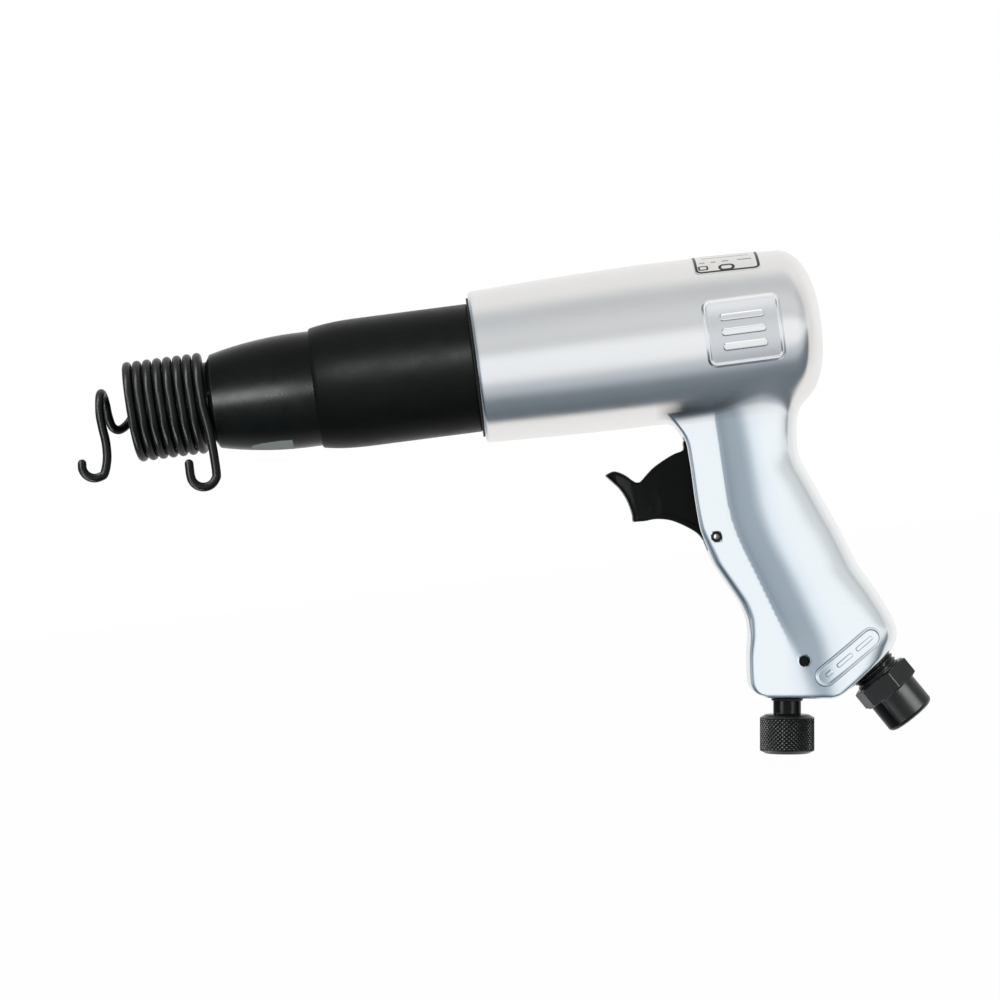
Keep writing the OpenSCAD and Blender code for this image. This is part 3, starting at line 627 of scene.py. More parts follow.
def housing(x, y, z):
    """The casting with its bores, slot and passages."""
    d = casting(x, y, z)
    u = x - HOUSING_X
    rho = np.hypot(y, z)
    off = np.hypot(y, z - THROTTLE_Z)
    reg_s, reg_across, reg_r = across_axis(u, y, z, REG, REG_TILT)
    inlet_s, _, inlet_r = across_axis(u, y, z, INLET, INLET_TURN)
    feed_lean = math.degrees(math.atan2(95.5 - REG[0], THROTTLE_Z - REG[1]))
    feed_s, _, feed_r = across_axis(u, y, z, REG, feed_lean)
    slot = np.maximum(np.abs(y) - SLOT_HALF, np.maximum(
        np.maximum(SLOT[0] - u, u - SLOT[1]), np.maximum(SLOT[2] - z, z - SLOT[3])))
    pin_r = np.hypot(u - PIVOT[0], z - PIVOT[1])
    reg_pin_r = np.hypot(reg_across - REG_PIN[0], reg_s - REG_PIN[1])
    cuts = [
        # Barrel and valve bore, the air chamber behind it, and the trigger's slot
        (rod(u, rho, -5, 84.2, 20.6), 0.6),
        (rod(u, rho, 80, 101, 15), 0.5),
        (slot, 0.9),
        # Throttle bore, its way up to the chamber, and its feed from the regulator
        (rod(u, off, 78, 100, THROTTLE_R), 0.4),
        (rod(z, np.hypot(y, u - 86.5), THROTTLE_Z, -8, AIR_R), 0.4),
        (rod(feed_s, feed_r, 28, 78, AIR_R), 0.4),
        # Trigger pin, regulator bore and its cross pin
        (rod(y, pin_r, -CLEAR, CLEAR, PIVOT_R), 0.4),
        (rod(reg_s, reg_r, -6, 56, SPOOL_R + 0.05), 0.8),
        (rod(y, reg_pin_r, -CLEAR, CLEAR, REG_PIN[2]), 0.4),
        # Inlet port and the way from it to the regulator
        (rod(inlet_s, inlet_r, -10.5, 6, 8.35), 0.8),
        (rod(inlet_s, inlet_r, -43, 6, 5), 0.4)]
    for cut, ease in cuts:
        d = smax(d, -cut, ease)
    return d


def casting_side(u, z, side):
    """Y of the casting's side at each (u, z), found by stepping in from outside."""
    y = np.full(u.shape, side * 34.0)
    for _ in range(60):
        y -= side * 0.8 * np.maximum(casting(u + HOUSING_X, y, z), -1)
    return y


def casting_piece(name, points, faces, normals=None):
    """A piece of the housing's casting."""
    return add_mesh(name, points, faces, ALLOY, "tool_body", "handle_housing", "cast_alloy", normals)


points, quads, normals = isosurface(housing, (HOUSING_X - 2, -29.4, -146), (HOUSING_X + 134, 29.4, 30),
                                    0.72)
casting_piece("housing_casting", points, quads.tolist(), normals)


def rounded_loop(half_a, half_b, corner, per_corner=10, per_side=14):
    """Closed loop round a rounded rectangle: (a, b) points and their inward directions."""
    loop = []
    middles = [np.array([sa * (half_a - corner), sb * (half_b - corner)])
               for sa, sb in ((1, 1), (-1, 1), (-1, -1), (1, -1))]
    for i, middle in enumerate(middles):
        for k in range(per_corner + 1):
            angle = 90 * i + 90 * k / per_corner
            out = np.array([cosd(angle), sind(angle)])
            loop.append((middle + corner * out, -out))
        here, inward = loop[-1]
        goal = middles[(i + 1) % 4] - corner * inward
        loop += [(here + (goal - here) * k / per_side, inward) for k in range(1, per_side)]
    return loop


def panel(loop, profile, place, inner_steps=10):
    """A thin raised shape. Rings follow profile [inset, height] inwards, then run on to the middle at the
    last height. place(ab, height) gives points in mm. Also returns the flat (a, b) of each point."""
    n = len(loop)
    flat, heights = [], []
    for inset, height in profile:
        flat += [p + inward * inset for p, inward in loop]
        heights += [height] * n
    last = flat[-n:]
    for k in range(1, inner_steps):
        flat += [p * (1 - k / inner_steps) for p in last]
        heights += [profile[-1][1]] * n
    flat.append(np.zeros(2))
    heights.append(profile[-1][1])
    top = len(flat) - 1
    rings = len(profile) + inner_steps - 1
    faces = band(rings, n)
    faces += [[(rings - 1) * n + k, (rings - 1) * n + (k + 1) % n, top] for k in range(n)]
    under = len(flat)
    flat.append(np.zeros(2))
    heights.append(profile[0][1])
    faces += [[(k + 1) % n, k, under] for k in range(n)]
    flat = np.array(flat)
    points = place(flat, np.array(heights))
    return points, outwards(points, faces), flat


def on_casting(mid, turn, side):
    """Places flat (a, b) on the casting's side about mid, a running at an angle in the side view."""
    c, s = cosd(turn), sind(turn)

    def place(ab, height):
        u = mid[0] + ab[:, 0] * c - ab[:, 1] * s
        z = mid[1] + ab[:, 0] * s + ab[:, 1] * c
        p = np.stack([u + HOUSING_X, casting_side(u, z, side), z], -1)
        g = gradient(casting, p)
        return p + g / np.linalg.norm(g, axis=1)[:, None] * height[:, None]
    return place


def joined(parts):
    """One list of points and faces from several."""
    points, faces, start = [], [], 0
    for p, f in parts:
        points.append(p)
        faces += [[i + start for i in face] for face in f]
        start += len(p)
    return np.vstack(points), faces


# Raised borders and plain bars: [distance in from the edge, height]
RIM_PROFILE = [[-0.25, -0.5], [-0.2, -0.02], [0.0, 0.05], [0.25, 0.2], [0.5, 0.39], [0.75, 0.47],
               [1.0, 0.42], [1.2, 0.27], [1.35, 0.13], [1.5, 0.06], [1.7, 0.05]]
BAR_PROFILE = [[-0.15, -0.4], [-0.1, 0.04], [0.0, 0.1], [0.15, 0.3], [0.35, 0.38], [0.55, 0.4]]
PLATE_PROFILE = [[-0.15, -0.5], [-0.1, 0.0], [0.02, 0.14], [0.12, 0.5], [0.3, 0.66], [0.6, 0.66],
                 [0.8, 0.5], [0.92, 0.22], [1.1, 0.14], [1.5, 0.16]]
EMBLEM_MID = (90.6, 0.1)
EMBLEM_LOOP = rounded_loop(13.15, 11.4, 3.0)
EMBLEM_BAR = rounded_loop(7.5, 1.3, 1.0, 6, 10)
BAR_PITCH = 5.0
PLATE_MID = (112.0, -113.8)
PLATE_TURN = math.degrees(math.atan2(11.2, 17.0))
# Each bar's place along the plate and its half length
PLATE_BARS = ((-8.4, 1.6), (-1.6, 3.4), (7.0, 3.6))
for side, word in ((-1, "near"), (1, "far")):
    points, faces, _ = panel(EMBLEM_LOOP, RIM_PROFILE, on_casting(EMBLEM_MID, 0, side), 12)
    border = casting_piece(f"emblem_border_{word}", points, faces)
    border.data.materials.append(RECESS)
    for face in border.data.polygons:
        if min(face.vertices) >= len(EMBLEM_LOOP) * (len(RIM_PROFILE) - 2):
            face.material_index = 1
    bars = [panel(EMBLEM_BAR, BAR_PROFILE,
                  on_casting((EMBLEM_MID[0], EMBLEM_MID[1] + i * BAR_PITCH), 0, side), 4)[:2]
            for i in (-1, 0, 1)]
    casting_piece(f"emblem_bars_{word}", *joined(bars))
    plate = [panel(rounded_loop(13.5, 3.6, 3.55, 14, 10), PLATE_PROFILE,
                   on_casting(PLATE_MID, PLATE_TURN, side), 8)[:2]]
    for shift, half in PLATE_BARS:
        middle = (PLATE_MID[0] + shift * cosd(PLATE_TURN), PLATE_MID[1] + shift * sind(PLATE_TURN))
        plate.append(panel(rounded_loop(half, 0.85, 0.7, 6, 8), BAR_PROFILE,
                           on_casting(middle, PLATE_TURN, side), 4)[:2])
    casting_piece(f"inlet_plate_{word}", *joined(plate))

LABEL_U = (77.2, 99.8)
LABEL_HALF_ANGLE = 41.0


def on_top(ab, height):
    """Wraps the label's flat coordinates over the top of the round part."""
    u = (LABEL_U[0] + LABEL_U[1]) / 2 + ab[:, 0]
    r = round_radius(u)
    angle = ab[:, 1] / HOUSING_R
    return np.stack([u + HOUSING_X, (r + height) * np.sin(angle), (r + height) * np.cos(angle)], -1)


label_a = (LABEL_U[1] - LABEL_U[0]) / 2
label_b = math.radians(LABEL_HALF_ANGLE) * HOUSING_R
LABEL_CORNER = 2.2
points, faces, flat = panel(rounded_loop(label_a, label_b, LABEL_CORNER, 10, 24),
                            [[0.0, -0.1], [0.0, 0.12], [0.06, 0.17], [0.2, 0.18]], on_top, 14)
label = add_mesh("rating_label_film", points, faces, label_film(label_a, label_b, LABEL_CORNER),
                 "tool_body", "rating_label", "label")
uv = label.data.uv_layers.new(name="flat_mm")
for loop in label.data.loops:
    uv.data[loop.index].uv = flat[loop.vertex_index]

# ---------- barrel group ----------

BARREL_R = 19.7
NOSE = (28.0, 58.0, 16.1)
FLAT_HALF = (18.1, 19.0)
FLAT_X = (37.0, 53.0)
FLAT_ANGLE = math.radians(90 - 17)


def nose_arc(steps):
    length = NOSE[1] - NOSE[0]
    rise = BARREL_R - NOSE[2]
    arc = (length ** 2 + rise ** 2) / (2 * rise)
    xs = sorted(set([NOSE[0] + length * i / steps for i in range(steps + 1)]
                    + [x + d for x in FLAT_X for d in (-0.25, 0.0)]))
    return [[x, BARREL_R - arc + math.sqrt(arc ** 2 - (NOSE[1] - x) ** 2)] for x in xs]


def flat_distance(along):
    """The flats sink slightly towards the front."""
    return FLAT_HALF[0] + (FLAT_HALF[1] - FLAT_HALF[0]) * (along - FLAT_X[0]) / (FLAT_X[1] - FLAT_X[0])


def wrench_flats(along, angle, radius):
    limit = flat_distance(along) / np.maximum(np.abs(np.cos(angle - FLAT_ANGLE)), 0.1)
    inside = (along > FLAT_X[0] - 0.01) & (along < FLAT_X[1] - 0.1) & (radius > 15)
    return np.where(inside, np.minimum(radius, limit), radius)


barrel_end = high("barrel", 0)
outline = (eased([[0, 6.1], [0, 12.9], [1, 13.9], [24.5, 13.9], [24.5, 13.7], [26.5, 13.7], [27.7, 15.8]],
                 0.3, closed=False)
           + nose_arc(40)
           + eased([[60, BARREL_R], [78, BARREL_R], [78, 18], [92, 18], [92, BARREL_R],
                    [118.6, BARREL_R], [118.6, 20.5], [141.6, 20.5], [141.6, 19.5], [160, 19.5],
                    [160, 20.5], [barrel_end, 20.5], [barrel_end, 9.525], [50, 9.525], [45, 5.175],
                    [0.9, 5.175]], 0.3, closed=False))
barrel = turned("barrel_turned", outline, along_x, 240, BARREL_BLACK, "tool_body", "barrel", "barrel_black",
                wrench_flats, sharp=28)
barrel.data.materials.append(FLAT_WORN_AND_SHEEN)
for face in barrel.data.polygons:
    middle = face.center / MM
    around = math.atan2(middle.z, middle.y)
    depth = math.hypot(middle.y, middle.z) * abs(math.cos(around - FLAT_ANGLE)) - flat_distance(middle.x)
    if FLAT_X[0] < middle.x < FLAT_X[1] - 0.3 and abs(depth) < 0.02:
        face.material_index = 1

front, back = SLEEVE_X
SLEEVE_R = 22.0
outline = eased([[front, BARREL_R + 0.3], [front, SLEEVE_R - 1.75], [front + 0.5, SLEEVE_R - 1.4]], 0.3,
                closed=False)
outline += [[front + 0.5 + 17.5 * t, SLEEVE_R - 1.4 * (1 - t) ** 2.6] for t in np.linspace(0.06, 1, 16)]
outline += eased([[back - 3, SLEEVE_R], [back, SLEEVE_R], [back, BARREL_R + 0.12],
                  [back - 14, BARREL_R + 0.12], [back - 14, BARREL_R + 0.3], [front + 1, BARREL_R + 0.3]],
                 0.5, closed=False)
turned("exhaust_sleeve_turned", outline, along_x, 160, SLEEVE_BLACK, "tool_body", "exhaust_sleeve",
       "sleeve_black")

front, back = low("sleeve_seal", 0), high("sleeve_seal", 0)
outline = eased([[front, 19.9], [front, 23.9], [back, 23.9], [back, 19.9]], 0.2)
turned("sleeve_seal_ring", outline, along_x, 120, RUBBER, "tool_body", "sleeve_seal", "seal_rubber",
       sharp=None)

# Retainer: hook and loop in front, seven turns, and a tail that ends in a hook
COIL_R = 15.75
COIL_PITCH = 3.44
COIL_X = -0.6
COIL_ANGLES = (-90.0, 2610.0)
LOOP_R = 7.7


def coil_point(angle):
    a = math.radians(angle)
    return np.array([COIL_X + COIL_PITCH * angle / 360, -COIL_R * math.sin(a), COIL_R * math.cos(a)])


coil = [coil_point(a) for a in np.arange(COIL_ANGLES[0], COIL_ANGLES[1] + 1, 7.5)]
finish = coil_point(COIL_ANGLES[1])
hook = np.array([-15.1, -LOOP_R, -16.6])
tail = np.array([finish[0] + 1.9 - 4.4, -COIL_R, -24.4])


def arc_xz(centre, radius, start, end, step, mirror):
    """Arc in the XZ plane, drawn to the front (mirror -1) or to the back (mirror 1)."""
    return [centre + radius * np.array([mirror * cosd(a), 0, -sind(a)])
            for a in np.arange(start, end + 1, step)]


front_path = arc_xz(hook, 4.3, -15, 135, 25, -1)
front_path += [[-10.6, -LOOP_R, -15], [-10.3, -LOOP_R, -9.5], [-10.8, -LOOP_R, -4.5]]
front_path += [[-9.8 - 1.3 * (1 - a / math.pi), -LOOP_R * math.cos(a), LOOP_R * math.sin(a)]
               for a in np.linspace(0, math.pi, 7)]
front_path += [[-9.1, 9.6, -3.7], [-7.4, 11.4, -5.1], [-5.4, 13.3, -4.4], [-3.4, 15, -2.6], coil[0]]
back_path = [finish, finish + [0.1, 0, -2], finish + [1.1, 0, -9], finish + [1.7, 0, -16]]
back_path += arc_xz(tail, 4.4, 0, 180, 30, 1) + [tail + [-4.4, 0, 4.1]]
path = catmull(front_path, 6)[:-1] + coil + catmull(back_path, 6)[1:]
add_mesh("retainer_coil_wire", *wire(path, 1.525, 24), WIRE_BLACK, "retainer_coil", "retainer_spring",
         "wire_black")

# ---------- trigger ----------

WEB = [[49, -47], [50.4, -46], [55, -42], [59.7, -39.4], [63.2, -37.9], [66.2, -37.1], [66.5, -35.2],
       [66.9, -34], [68.4, -34.3], [71.5, -37], [75, -40.5], [75, -53], [77.4, -66.8], [75, -71.2],
       [71.4, -70.3], [69.4, -68.8], [67.9, -66.5], [65.6, -64.4], [62, -62], [58.5, -60.3],
       [54.4, -59.4], [51.5, -59.2], [50, -58]]
PADDLE = [[38.8, -42.6], [40.4, -41.5], [42.4, -41.3], [45.6, -43], [49.1, -46.3], [53.5, -49.5],
          [55, -55], [52.5, -59], [47, -59.5], [46.1, -58.8], [46.1, -56.5], [45, -51.8], [43.2, -47.9],
          [40.9, -45]]


def closed_smooth(outline, steps):
    """A smooth closed line through points."""
    ring = [outline[-2], outline[-1]] + outline + [outline[0], outline[1]]
    dense = catmull(ring, steps)
    return np.array(dense[2 * steps:-2 * steps])[:, :2]


web_line = closed_smooth(WEB, 3)
paddle_line = closed_smooth(PADDLE, 4)


def trigger(x, y, z):
    """The lever: web, foot, finger pad and boss round its pin."""
    u, y, z = np.broadcast_arrays(x - HOUSING_X, y, z)
    web = polygon_distance(u, z, web_line)
    paddle = polygon_distance(u, z, paddle_line)
    side = np.abs(y)
    core = smax(web, side - 4.1, 0.8)
    # A slightly wider foot runs along the lower edge
    foot = smax(smax(web, side - 4.35, 0.6), -(web + 1.8), 0.4)
    # The finger pad flares out over the last 8 mm to its front edge
    ahead = np.clip((50.6 + (-46.3 - z) * 0.2 - u) / 8.0, 0, 1)
    pad = smax(paddle, (side - 4.0 - 3.5 * ahead ** 1.3) * 0.75, 1.6)
    boss = np.maximum(np.hypot(u - PIVOT[0], z - PIVOT[1]) - 3.6, side - 4.25)
    d = smin(smin(core, np.maximum(foot, z + 55), 0.5), smin(pad, boss, 0.3), 2.5)
    d = smax(d, smin(web, paddle, 0.6), 0.4)
    return np.maximum(d, -(np.hypot(u - PIVOT[0], z - PIVOT[1]) - 1.64))


points, quads, normals = isosurface(trigger, (HOUSING_X + 37, -9, -74), (HOUSING_X + 79, 9, -32), 0.36)
lever = add_mesh("trigger_lever", points, quads.tolist(), TRIGGER_BLACK, "trigger_lever", "trigger",
                 "trigger_black", normals)
lever.visible_glossy = False

PIN_HALF = 10.9
outline = eased([[-PIN_HALF, 0.95], [-PIN_HALF, 1.56], [PIN_HALF, 1.56], [PIN_HALF, 0.95]], 0.3)
turned("trigger_pin_rolled", outline, along_y(HOUSING_X + PIVOT[0], PIVOT[1]), 48, OXIDE_BLACK, "tool_body",
       "trigger_pin", "bright_steel", sharp=40)

# Return spring behind the throttle valve, shortened by the valve's travel
SPRING_R = 3.3
SPRING_WIRE_R = 0.35
front, back = low("throttle_spring", 0), high("throttle_spring", 0)
angles = np.arange(0, 5 * 360 + 1, 15)
# Closed end turns, open turns between them
run = np.interp([0, 0.06, 0.94, 1], [0, 1], [front + SPRING_WIRE_R, back - SPRING_WIRE_R])
path = [[x, -SPRING_R * sind(a), THROTTLE_Z + SPRING_R * cosd(a)]
        for x, a in zip(np.interp(angles, [0, 270, 1530, 1800], run), angles)]
spring = add_mesh("throttle_spring_coil", *wire(path, SPRING_WIRE_R, 12), STEEL, "tool_body",
                  "throttle_spring", "bright_steel")
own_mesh(spring)

# ---------- regulator ----------

on_regulator = axis_frame((HOUSING_X + REG[0], 0, REG[1]), REG_TILT)
# Journal in the knob, neck, seal groove, groove for the cross pin, and the body
outline = eased([[-13.8, 0], [-13.8, 3.5], [-5.8, 3.5], [-5.8, 4.76], [1.2, 4.76], [1.2, SPOOL_R],
                 [5.4, SPOOL_R], [5.4, 4.6], [8, 4.6], [8, SPOOL_R], [10.8, SPOOL_R], [10.8, 4.4],
                 [14.2, 4.4], [14.2, SPOOL_R], [52, SPOOL_R], [52, 0]], 0.3, closed=False)
turned("regulator_spool_turned", outline, on_regulator, 96, KNOB_BLACK, "regulator_group",
       "regulator_spool", "oxide_black", closed=False)

outline = [[-0.62 + 0.58 * math.sin(a), 5.0 + 0.42 * math.cos(a)] for a in np.linspace(0, TURN, 17)[:-1]]
turned("regulator_dust_ring_lip", outline, on_regulator, 96, RUBBER, "regulator_group",
       "regulator_dust_ring", "seal_rubber", sharp=None)

KNOB_R = 9.35
KNOB_TOP = -5.82
KNOB_LEN = 13.4
KNOB_BOTTOM = KNOB_TOP - KNOB_LEN
KNURL_ROUND = 40
KNURL_PITCH = 1.4
KNURL_DEPTH = 0.32


def knurl(along, angle, radius):
    """Two crossing sets of V grooves between the knob's chamfers."""
    turn = angle / TURN * KNURL_ROUND
    rise = along / KNURL_PITCH
    ridge = [1 - 2 * np.abs((turn + sign * rise) % 1 - 0.5) for sign in (1, -1)]
    depth = KNURL_DEPTH * (1 - np.clip(1.15 * np.minimum(ridge[0], ridge[1]), 0, 1))
    ends = [np.clip(room / 0.3, 0, 1) for room in (KNOB_TOP - 1.25 - along, along - KNOB_BOTTOM - 1.1)]
    return radius - np.where(radius > KNOB_R - 0.5, depth * ends[0] * ends[1], 0)


# Socket for the journal, chamfer, knurled side, chamfer, and the dished bottom
outline = (eased([[KNOB_TOP - 8.2, 0], [KNOB_TOP - 8.2, 3.52], [KNOB_TOP, 3.52], [KNOB_TOP, KNOB_R - 2],
                  [KNOB_TOP - 1.1, KNOB_R]], 0.2, closed=False)
           + [[s, KNOB_R] for s in np.linspace(KNOB_TOP - 1.25, KNOB_BOTTOM + 1.1, 110)]
           + eased([[KNOB_BOTTOM + 1, KNOB_R], [KNOB_BOTTOM, KNOB_R - 2], [KNOB_BOTTOM, 5.2],
                    [KNOB_BOTTOM + 0.5, 4.6], [KNOB_BOTTOM + 0.5, 0]], 0.2, closed=False))
turned("regulator_knob_knurled", outline, on_regulator, KNURL_ROUND * 10, KNOB_BLACK, "regulator_group",
       "regulator_knob", "oxide_black", knurl, closed=False, sharp=40)

# ---------- inlet ----------

on_inlet = axis_frame((HOUSING_X + INLET[0], 0, INLET[1]), INLET_TURN)
THREAD_R = 8.25
THREAD_PITCH = 1.55
HEX_AF = 19.05
HEX_CORNER = HEX_AF / 2 / cosd(30)
HEX_TURN = math.radians(17)
HEX_ALONG = (3.8, 10.9)
COLLAR_R = 8.9
INLET_LEN = 21.9
PORT_R = 5.7


def inlet_shape(along, angle, radius):
    """Outside thread, hexagon, and the thread in the port."""
    wave = (along / THREAD_PITCH - angle / TURN) % 1
    groove = 0.85 * (1 - np.abs(2 * wave - 1))
    thread_end = HEX_ALONG[0] - 0.35
    outer = (along < thread_end) & (along > -9.0) & (radius > 7.2)
    fade = np.clip((thread_end - along) / 0.5, 0, 1) * np.clip((along + 9.0) / 0.5, 0, 1)
    radius = np.where(outer, radius - groove * fade, radius)
    flat = HEX_AF / 2 / np.cos((angle - HEX_TURN) % (TURN / 6) - TURN / 12)
    on_hex = (along > HEX_ALONG[0] - 0.01) & (along < HEX_ALONG[1] + 0.01) & (radius > COLLAR_R + 0.2)
    radius = np.where(on_hex, np.minimum(radius, np.maximum(flat, COLLAR_R)), radius)
    port = (radius < PORT_R + 0.01) & (radius > PORT_R - 0.01) & (along > 10.5) & (along < INLET_LEN - 0.8)
    return np.where(port, radius - 0.45 * np.abs(2 * wave - 1), radius)


front, back = HEX_ALONG
outline = (eased([[-9.5, 4.5], [-9.5, THREAD_R - 0.8]], 0.2, closed=False)
           + [[s, THREAD_R] for s in np.linspace(-8.9, front - 0.2, 110)]
           + eased([[front - 0.18, THREAD_R - 0.5], [front, THREAD_R - 0.5], [front, HEX_CORNER - 1.5],
                    [front + 0.7, HEX_CORNER - 0.05], [back - 0.7, HEX_CORNER - 0.05],
                    [back, HEX_CORNER - 1.5], [back, COLLAR_R], [INLET_LEN - 1.4, COLLAR_R],
                    [INLET_LEN - 0.5, COLLAR_R - 0.6], [INLET_LEN, COLLAR_R - 1.7],
                    [INLET_LEN, PORT_R + 0.7], [INLET_LEN - 0.7, PORT_R]], 0.18, closed=False)
           + [[s, PORT_R] for s in np.linspace(INLET_LEN - 0.9, 10.4, 90)]
           + [[9.6, 4.5]])
turned("inlet_bushing_threaded", outline, on_inlet, 180, OXIDE_BLACK, "tool_body", "inlet_bushing",
       "oxide_black", inlet_shape)

# ---------- finishes of the CAD pieces that stay ----------

for material, nodes in (
        (RUBBER, "sleeve_o_ring barrel_o_ring throttle_bushing_o_ring throttle_valve_seal regulator_o_ring"),
        (STEEL, "piston valve_seat valve_disc valve_case valve_dowels valve_spring_washer"),
        (STEEL, "throttle_plunger inlet_screen"), (BRASS, "throttle_bushing throttle_valve"),
        (SLEEVE_BLACK, "regulator_pin"), (OXIDE_BLACK, "knob_set_screw")):
    for node in nodes.split():
        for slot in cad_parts[node].material_slots:
            slot.material = material

# ---------- floor, light and camera ----------

scene = bpy.context.scene
scene.view_settings.view_transform = "Standard"

# From here on, lengths are in metres. The floor glows white, with a trace of shadow.
FLOOR_HALF = 4.0
FLOOR_Z = cad_box[0][2] - 0.002
mesh = bpy.data.meshes.new("studio_floor")
mesh.from_pydata([(x * FLOOR_HALF, y * FLOOR_HALF, FLOOR_Z) for x, y in ((-1, -1), (1, -1), (1, 1), (-1, 1))],
                 [], [(0, 1, 2, 3)])
floor = bpy.data.objects.new("studio_floor", mesh)
scene.collection.objects.link(floor)
pale = Shader("studio_floor_pale")
pale.finish(rgb(0.9, 0.9, 0.9), 0.0, 0.9)
white = pale.node("ShaderNodeEmission", {"Color": rgb(1, 1, 1)})
blend = pale.node("ShaderNodeMixShader", {0: 0.02, 1: white.outputs[0], 2: pale.surface.outputs[0]})
pale.put(pale.tree.nodes["Material Output"].inputs["Surface"], blend.outputs[0])
mesh.materials.append(pale.material)
floor.visible_glossy = False
floor.visible_diffuse = False

world = bpy.data.worlds.new("studio_world")
scene.world = world
world.use_nodes = True
world.node_tree.nodes.clear()
sky = Nodes(world.node_tree)


def ramp(angle, stops):
    """A tone by angle in radians. Each stop is [degrees, grey level, blueness above or below 1]."""
    made = sky.node("ShaderNodeValToRGB", {0: sky.math("MULTIPLY_ADD", angle, 1 / TURN, 0.5)})
    made.color_ramp.interpolation = "EASE"
    elements = made.color_ramp.elements
    while len(elements) < len(stops):
        elements.new(0.5)
    for element, (degrees, level, blue) in zip(elements, stops):
        element.position = (degrees + 180) / 360
        element.color = rgb(level, level * (1 + blue) / 2, level * blue)
    return made.outputs["Color"]


split = sky.node("ShaderNodeSeparateXYZ", {0: sky.node("ShaderNodeTexCoord").outputs["Generated"]})
# Tones by the angle about X: -90 is straight down, 0 towards the camera, 90 straight up, 180 behind
by_height = ramp(sky.math("ARCTAN2", split.outputs[2], sky.math("MULTIPLY", split.outputs[1], -1.0)), [
    [-180, 0.92, 0.97], [-104, 0.92, 0.95], [-92, 0.13, 1.36], [-62, 0.19, 1.30], [-40, 0.52, 1.16],
    [-20, 0.94, 1.03], [4, 0.96, 1.03], [20, 0.66, 1.03], [33, 0.70, 1.03], [70, 0.58, 1.04],
    [102, 0.86, 0.97], [180, 0.94, 0.96]])
# Tones by the angle to the side: -90 is left, 90 is right
by_side = ramp(sky.math("ARCSINE", split.outputs[0]), [
    [-90, 0.8, 1], [-74, 0.42, 1.2], [-52, 0.26, 1.3], [-34, 0.40, 1.25], [-18, 0.92, 1.05], [0, 1, 1],
    [40, 1, 1], [75, 0.86, 1], [90, 1, 1]])
light = sky.node("ShaderNodeMix", {"Factor": 1.0, "A": by_height, "B": by_side},
                 data_type="RGBA", blend_type="MULTIPLY")
studio = sky.node("ShaderNodeBackground", {"Color": light.outputs["Result"]})
plain = sky.node("ShaderNodeBackground", {"Color": rgb(1, 1, 1)})
seen = sky.node("ShaderNodeLightPath").outputs["Is Camera Ray"]
choose = sky.node("ShaderNodeMixShader", {0: seen, 1: studio.outputs[0], 2: plain.outputs[0]})
sky.node("ShaderNodeOutputWorld", {"Surface": choose.outputs[0]})


def soft_light(name, place, aim, size, power, pieces):
    """A rectangular light that lights only the named pieces."""
    data = bpy.data.lights.new(name, "AREA")
    data.shape = "RECTANGLE"
    data.size, data.size_y = size
    data.energy = power
    lamp = bpy.data.objects.new(name, data)
    scene.collection.objects.link(lamp)
    lamp.location = place
    lamp.rotation_euler = (Vector(aim) - Vector(place)).to_track_quat("-Z", "Y").to_euler()
    lit = bpy.data.collections.new(name + "_pieces")
    for piece in pieces:
        lit.objects.link(bpy.data.objects[piece])
    lamp.light_linking.receiver_collection = lit


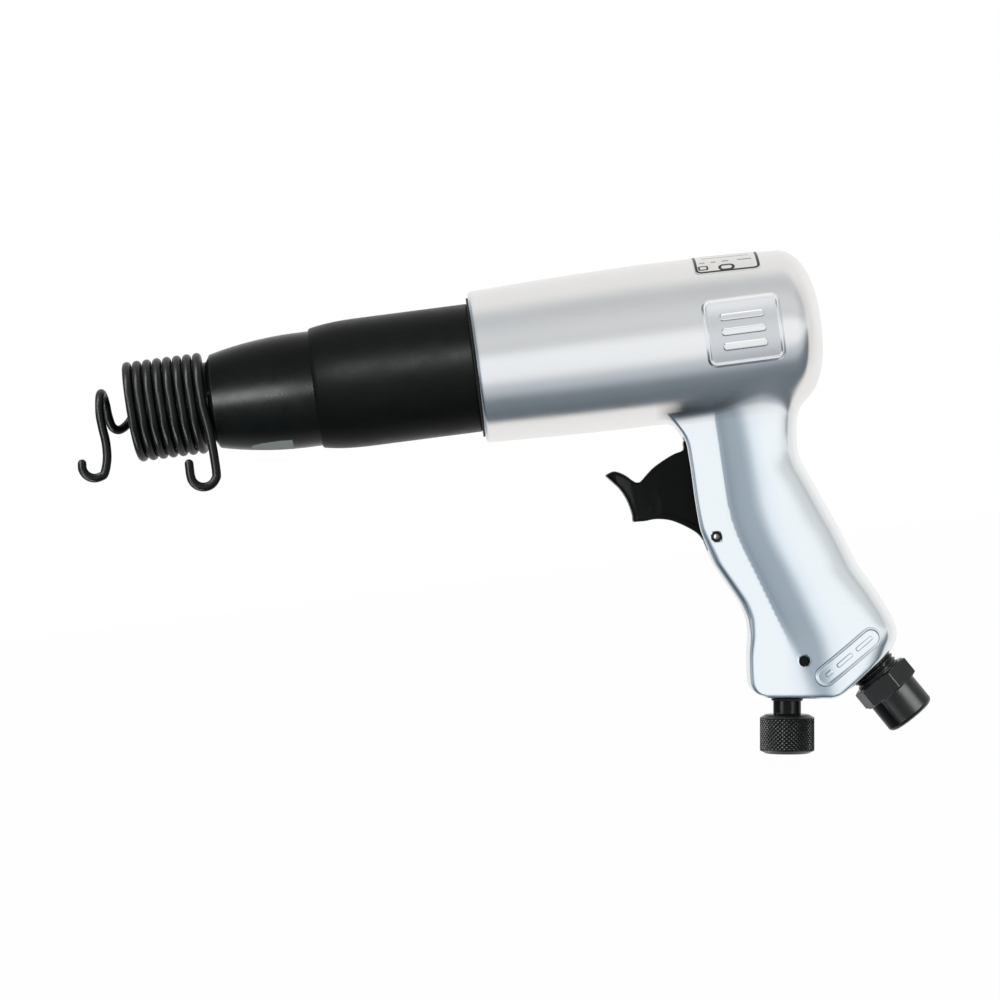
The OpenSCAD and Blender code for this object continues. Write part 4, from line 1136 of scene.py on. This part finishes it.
BARREL, SLEEVE = ["barrel_turned"], ["exhaust_sleeve_turned"]
BUSHING, LEVER = ["inlet_bushing_threaded"], ["trigger_lever"]
KNOB, STEM = ["regulator_knob_knurled"], ["regulator_spool_turned"]
EMBLEM = ["emblem_border_near", "emblem_bars_near"]
soft_light("barrel_strip", (-0.66, -1.2, 0.08), (-0.2, 0, 0), (1.3, 0.4), 48, BARREL)
soft_light("barrel_line", (-0.5, -1.25, -0.12), (-0.2, 0, 0), (1.0, 0.03), 9, BARREL)
soft_light("sleeve_strip", (0.12, -1.15, 0.5), (0.09, 0, 0), (0.9, 0.2), 26, SLEEVE)
for word, rise in (("low", -72), ("middle", 0), ("top", 72)):
    rise = math.radians(rise)
    soft_light("coil_strip_" + word, (-0.75, -math.cos(rise), math.sin(rise)), (0, 0, 0), (0.4, 1.3), 34,
               ["retainer_coil_wire"])
soft_light("fitting_strip", (1.1, -0.85, 0), (0.24, 0, -0.13), (0.9, 0.9), 33, BUSHING)
soft_light("fitting_top", (0.75, -0.75, 0.7), (0.24, 0, -0.13), (0.6, 0.6), 8, BUSHING)
soft_light("fitting_low", (-0.25, -0.75, -0.9), (0.24, 0, -0.13), (0.6, 0.6), 7, BUSHING)
soft_light("knob_strip", (-0.5, -1.1, 0.35), (0.2, 0, -0.13), (0.4, 0.5), 5, KNOB + STEM)
soft_light("knob_rake_left", (-0.65, -0.05, 0.4), (0.2, 0, -0.14), (0.8, 0.8), 48, KNOB)
soft_light("knob_rake_right", (1.05, -0.05, 0.4), (0.2, 0, -0.14), (0.8, 0.8), 44, KNOB)
soft_light("neck_left", (-0.57, -0.64, -0.1), (0.2, 0, -0.13), (0.4, 0.3), 4, STEM)
soft_light("neck_right", (0.89, -0.72, -0.1), (0.2, 0, -0.13), (0.4, 0.3), 5, STEM)
soft_light("trigger_kick", (0.98, -0.42, -0.1), (0.168, 0, -0.055), (0.15, 0.15), 6, LEVER)
soft_light("emblem_kick", (-0.7, -0.75, 0.1), (0.2, 0, 0), (0.9, 0.9), 1.6, EMBLEM)
soft_light("emblem_top", (0.2, -0.75, 0.95), (0.2, 0, 0), (0.9, 0.9), 1.6, EMBLEM)

CAMERA_MID = (0.1201, -0.046)
CAMERA_FAR = 1.37
ROLL = math.radians(7.4)
FRAME_WIDTH = 0.342
SENSOR = 36
camera_data = bpy.data.cameras.new("camera")
camera_data.sensor_width = SENSOR
camera_data.lens = SENSOR * CAMERA_FAR / FRAME_WIDTH
camera_data.clip_start = 0.01
camera = bpy.data.objects.new("camera", camera_data)
scene.collection.objects.link(camera)
camera.matrix_world = Matrix((
    (math.cos(ROLL), math.sin(ROLL), 0, CAMERA_MID[0]),
    (0, 0, -1, -CAMERA_FAR),
    (-math.sin(ROLL), math.cos(ROLL), 0, CAMERA_MID[1]),
    (0, 0, 0, 1)))
scene.camera = camera
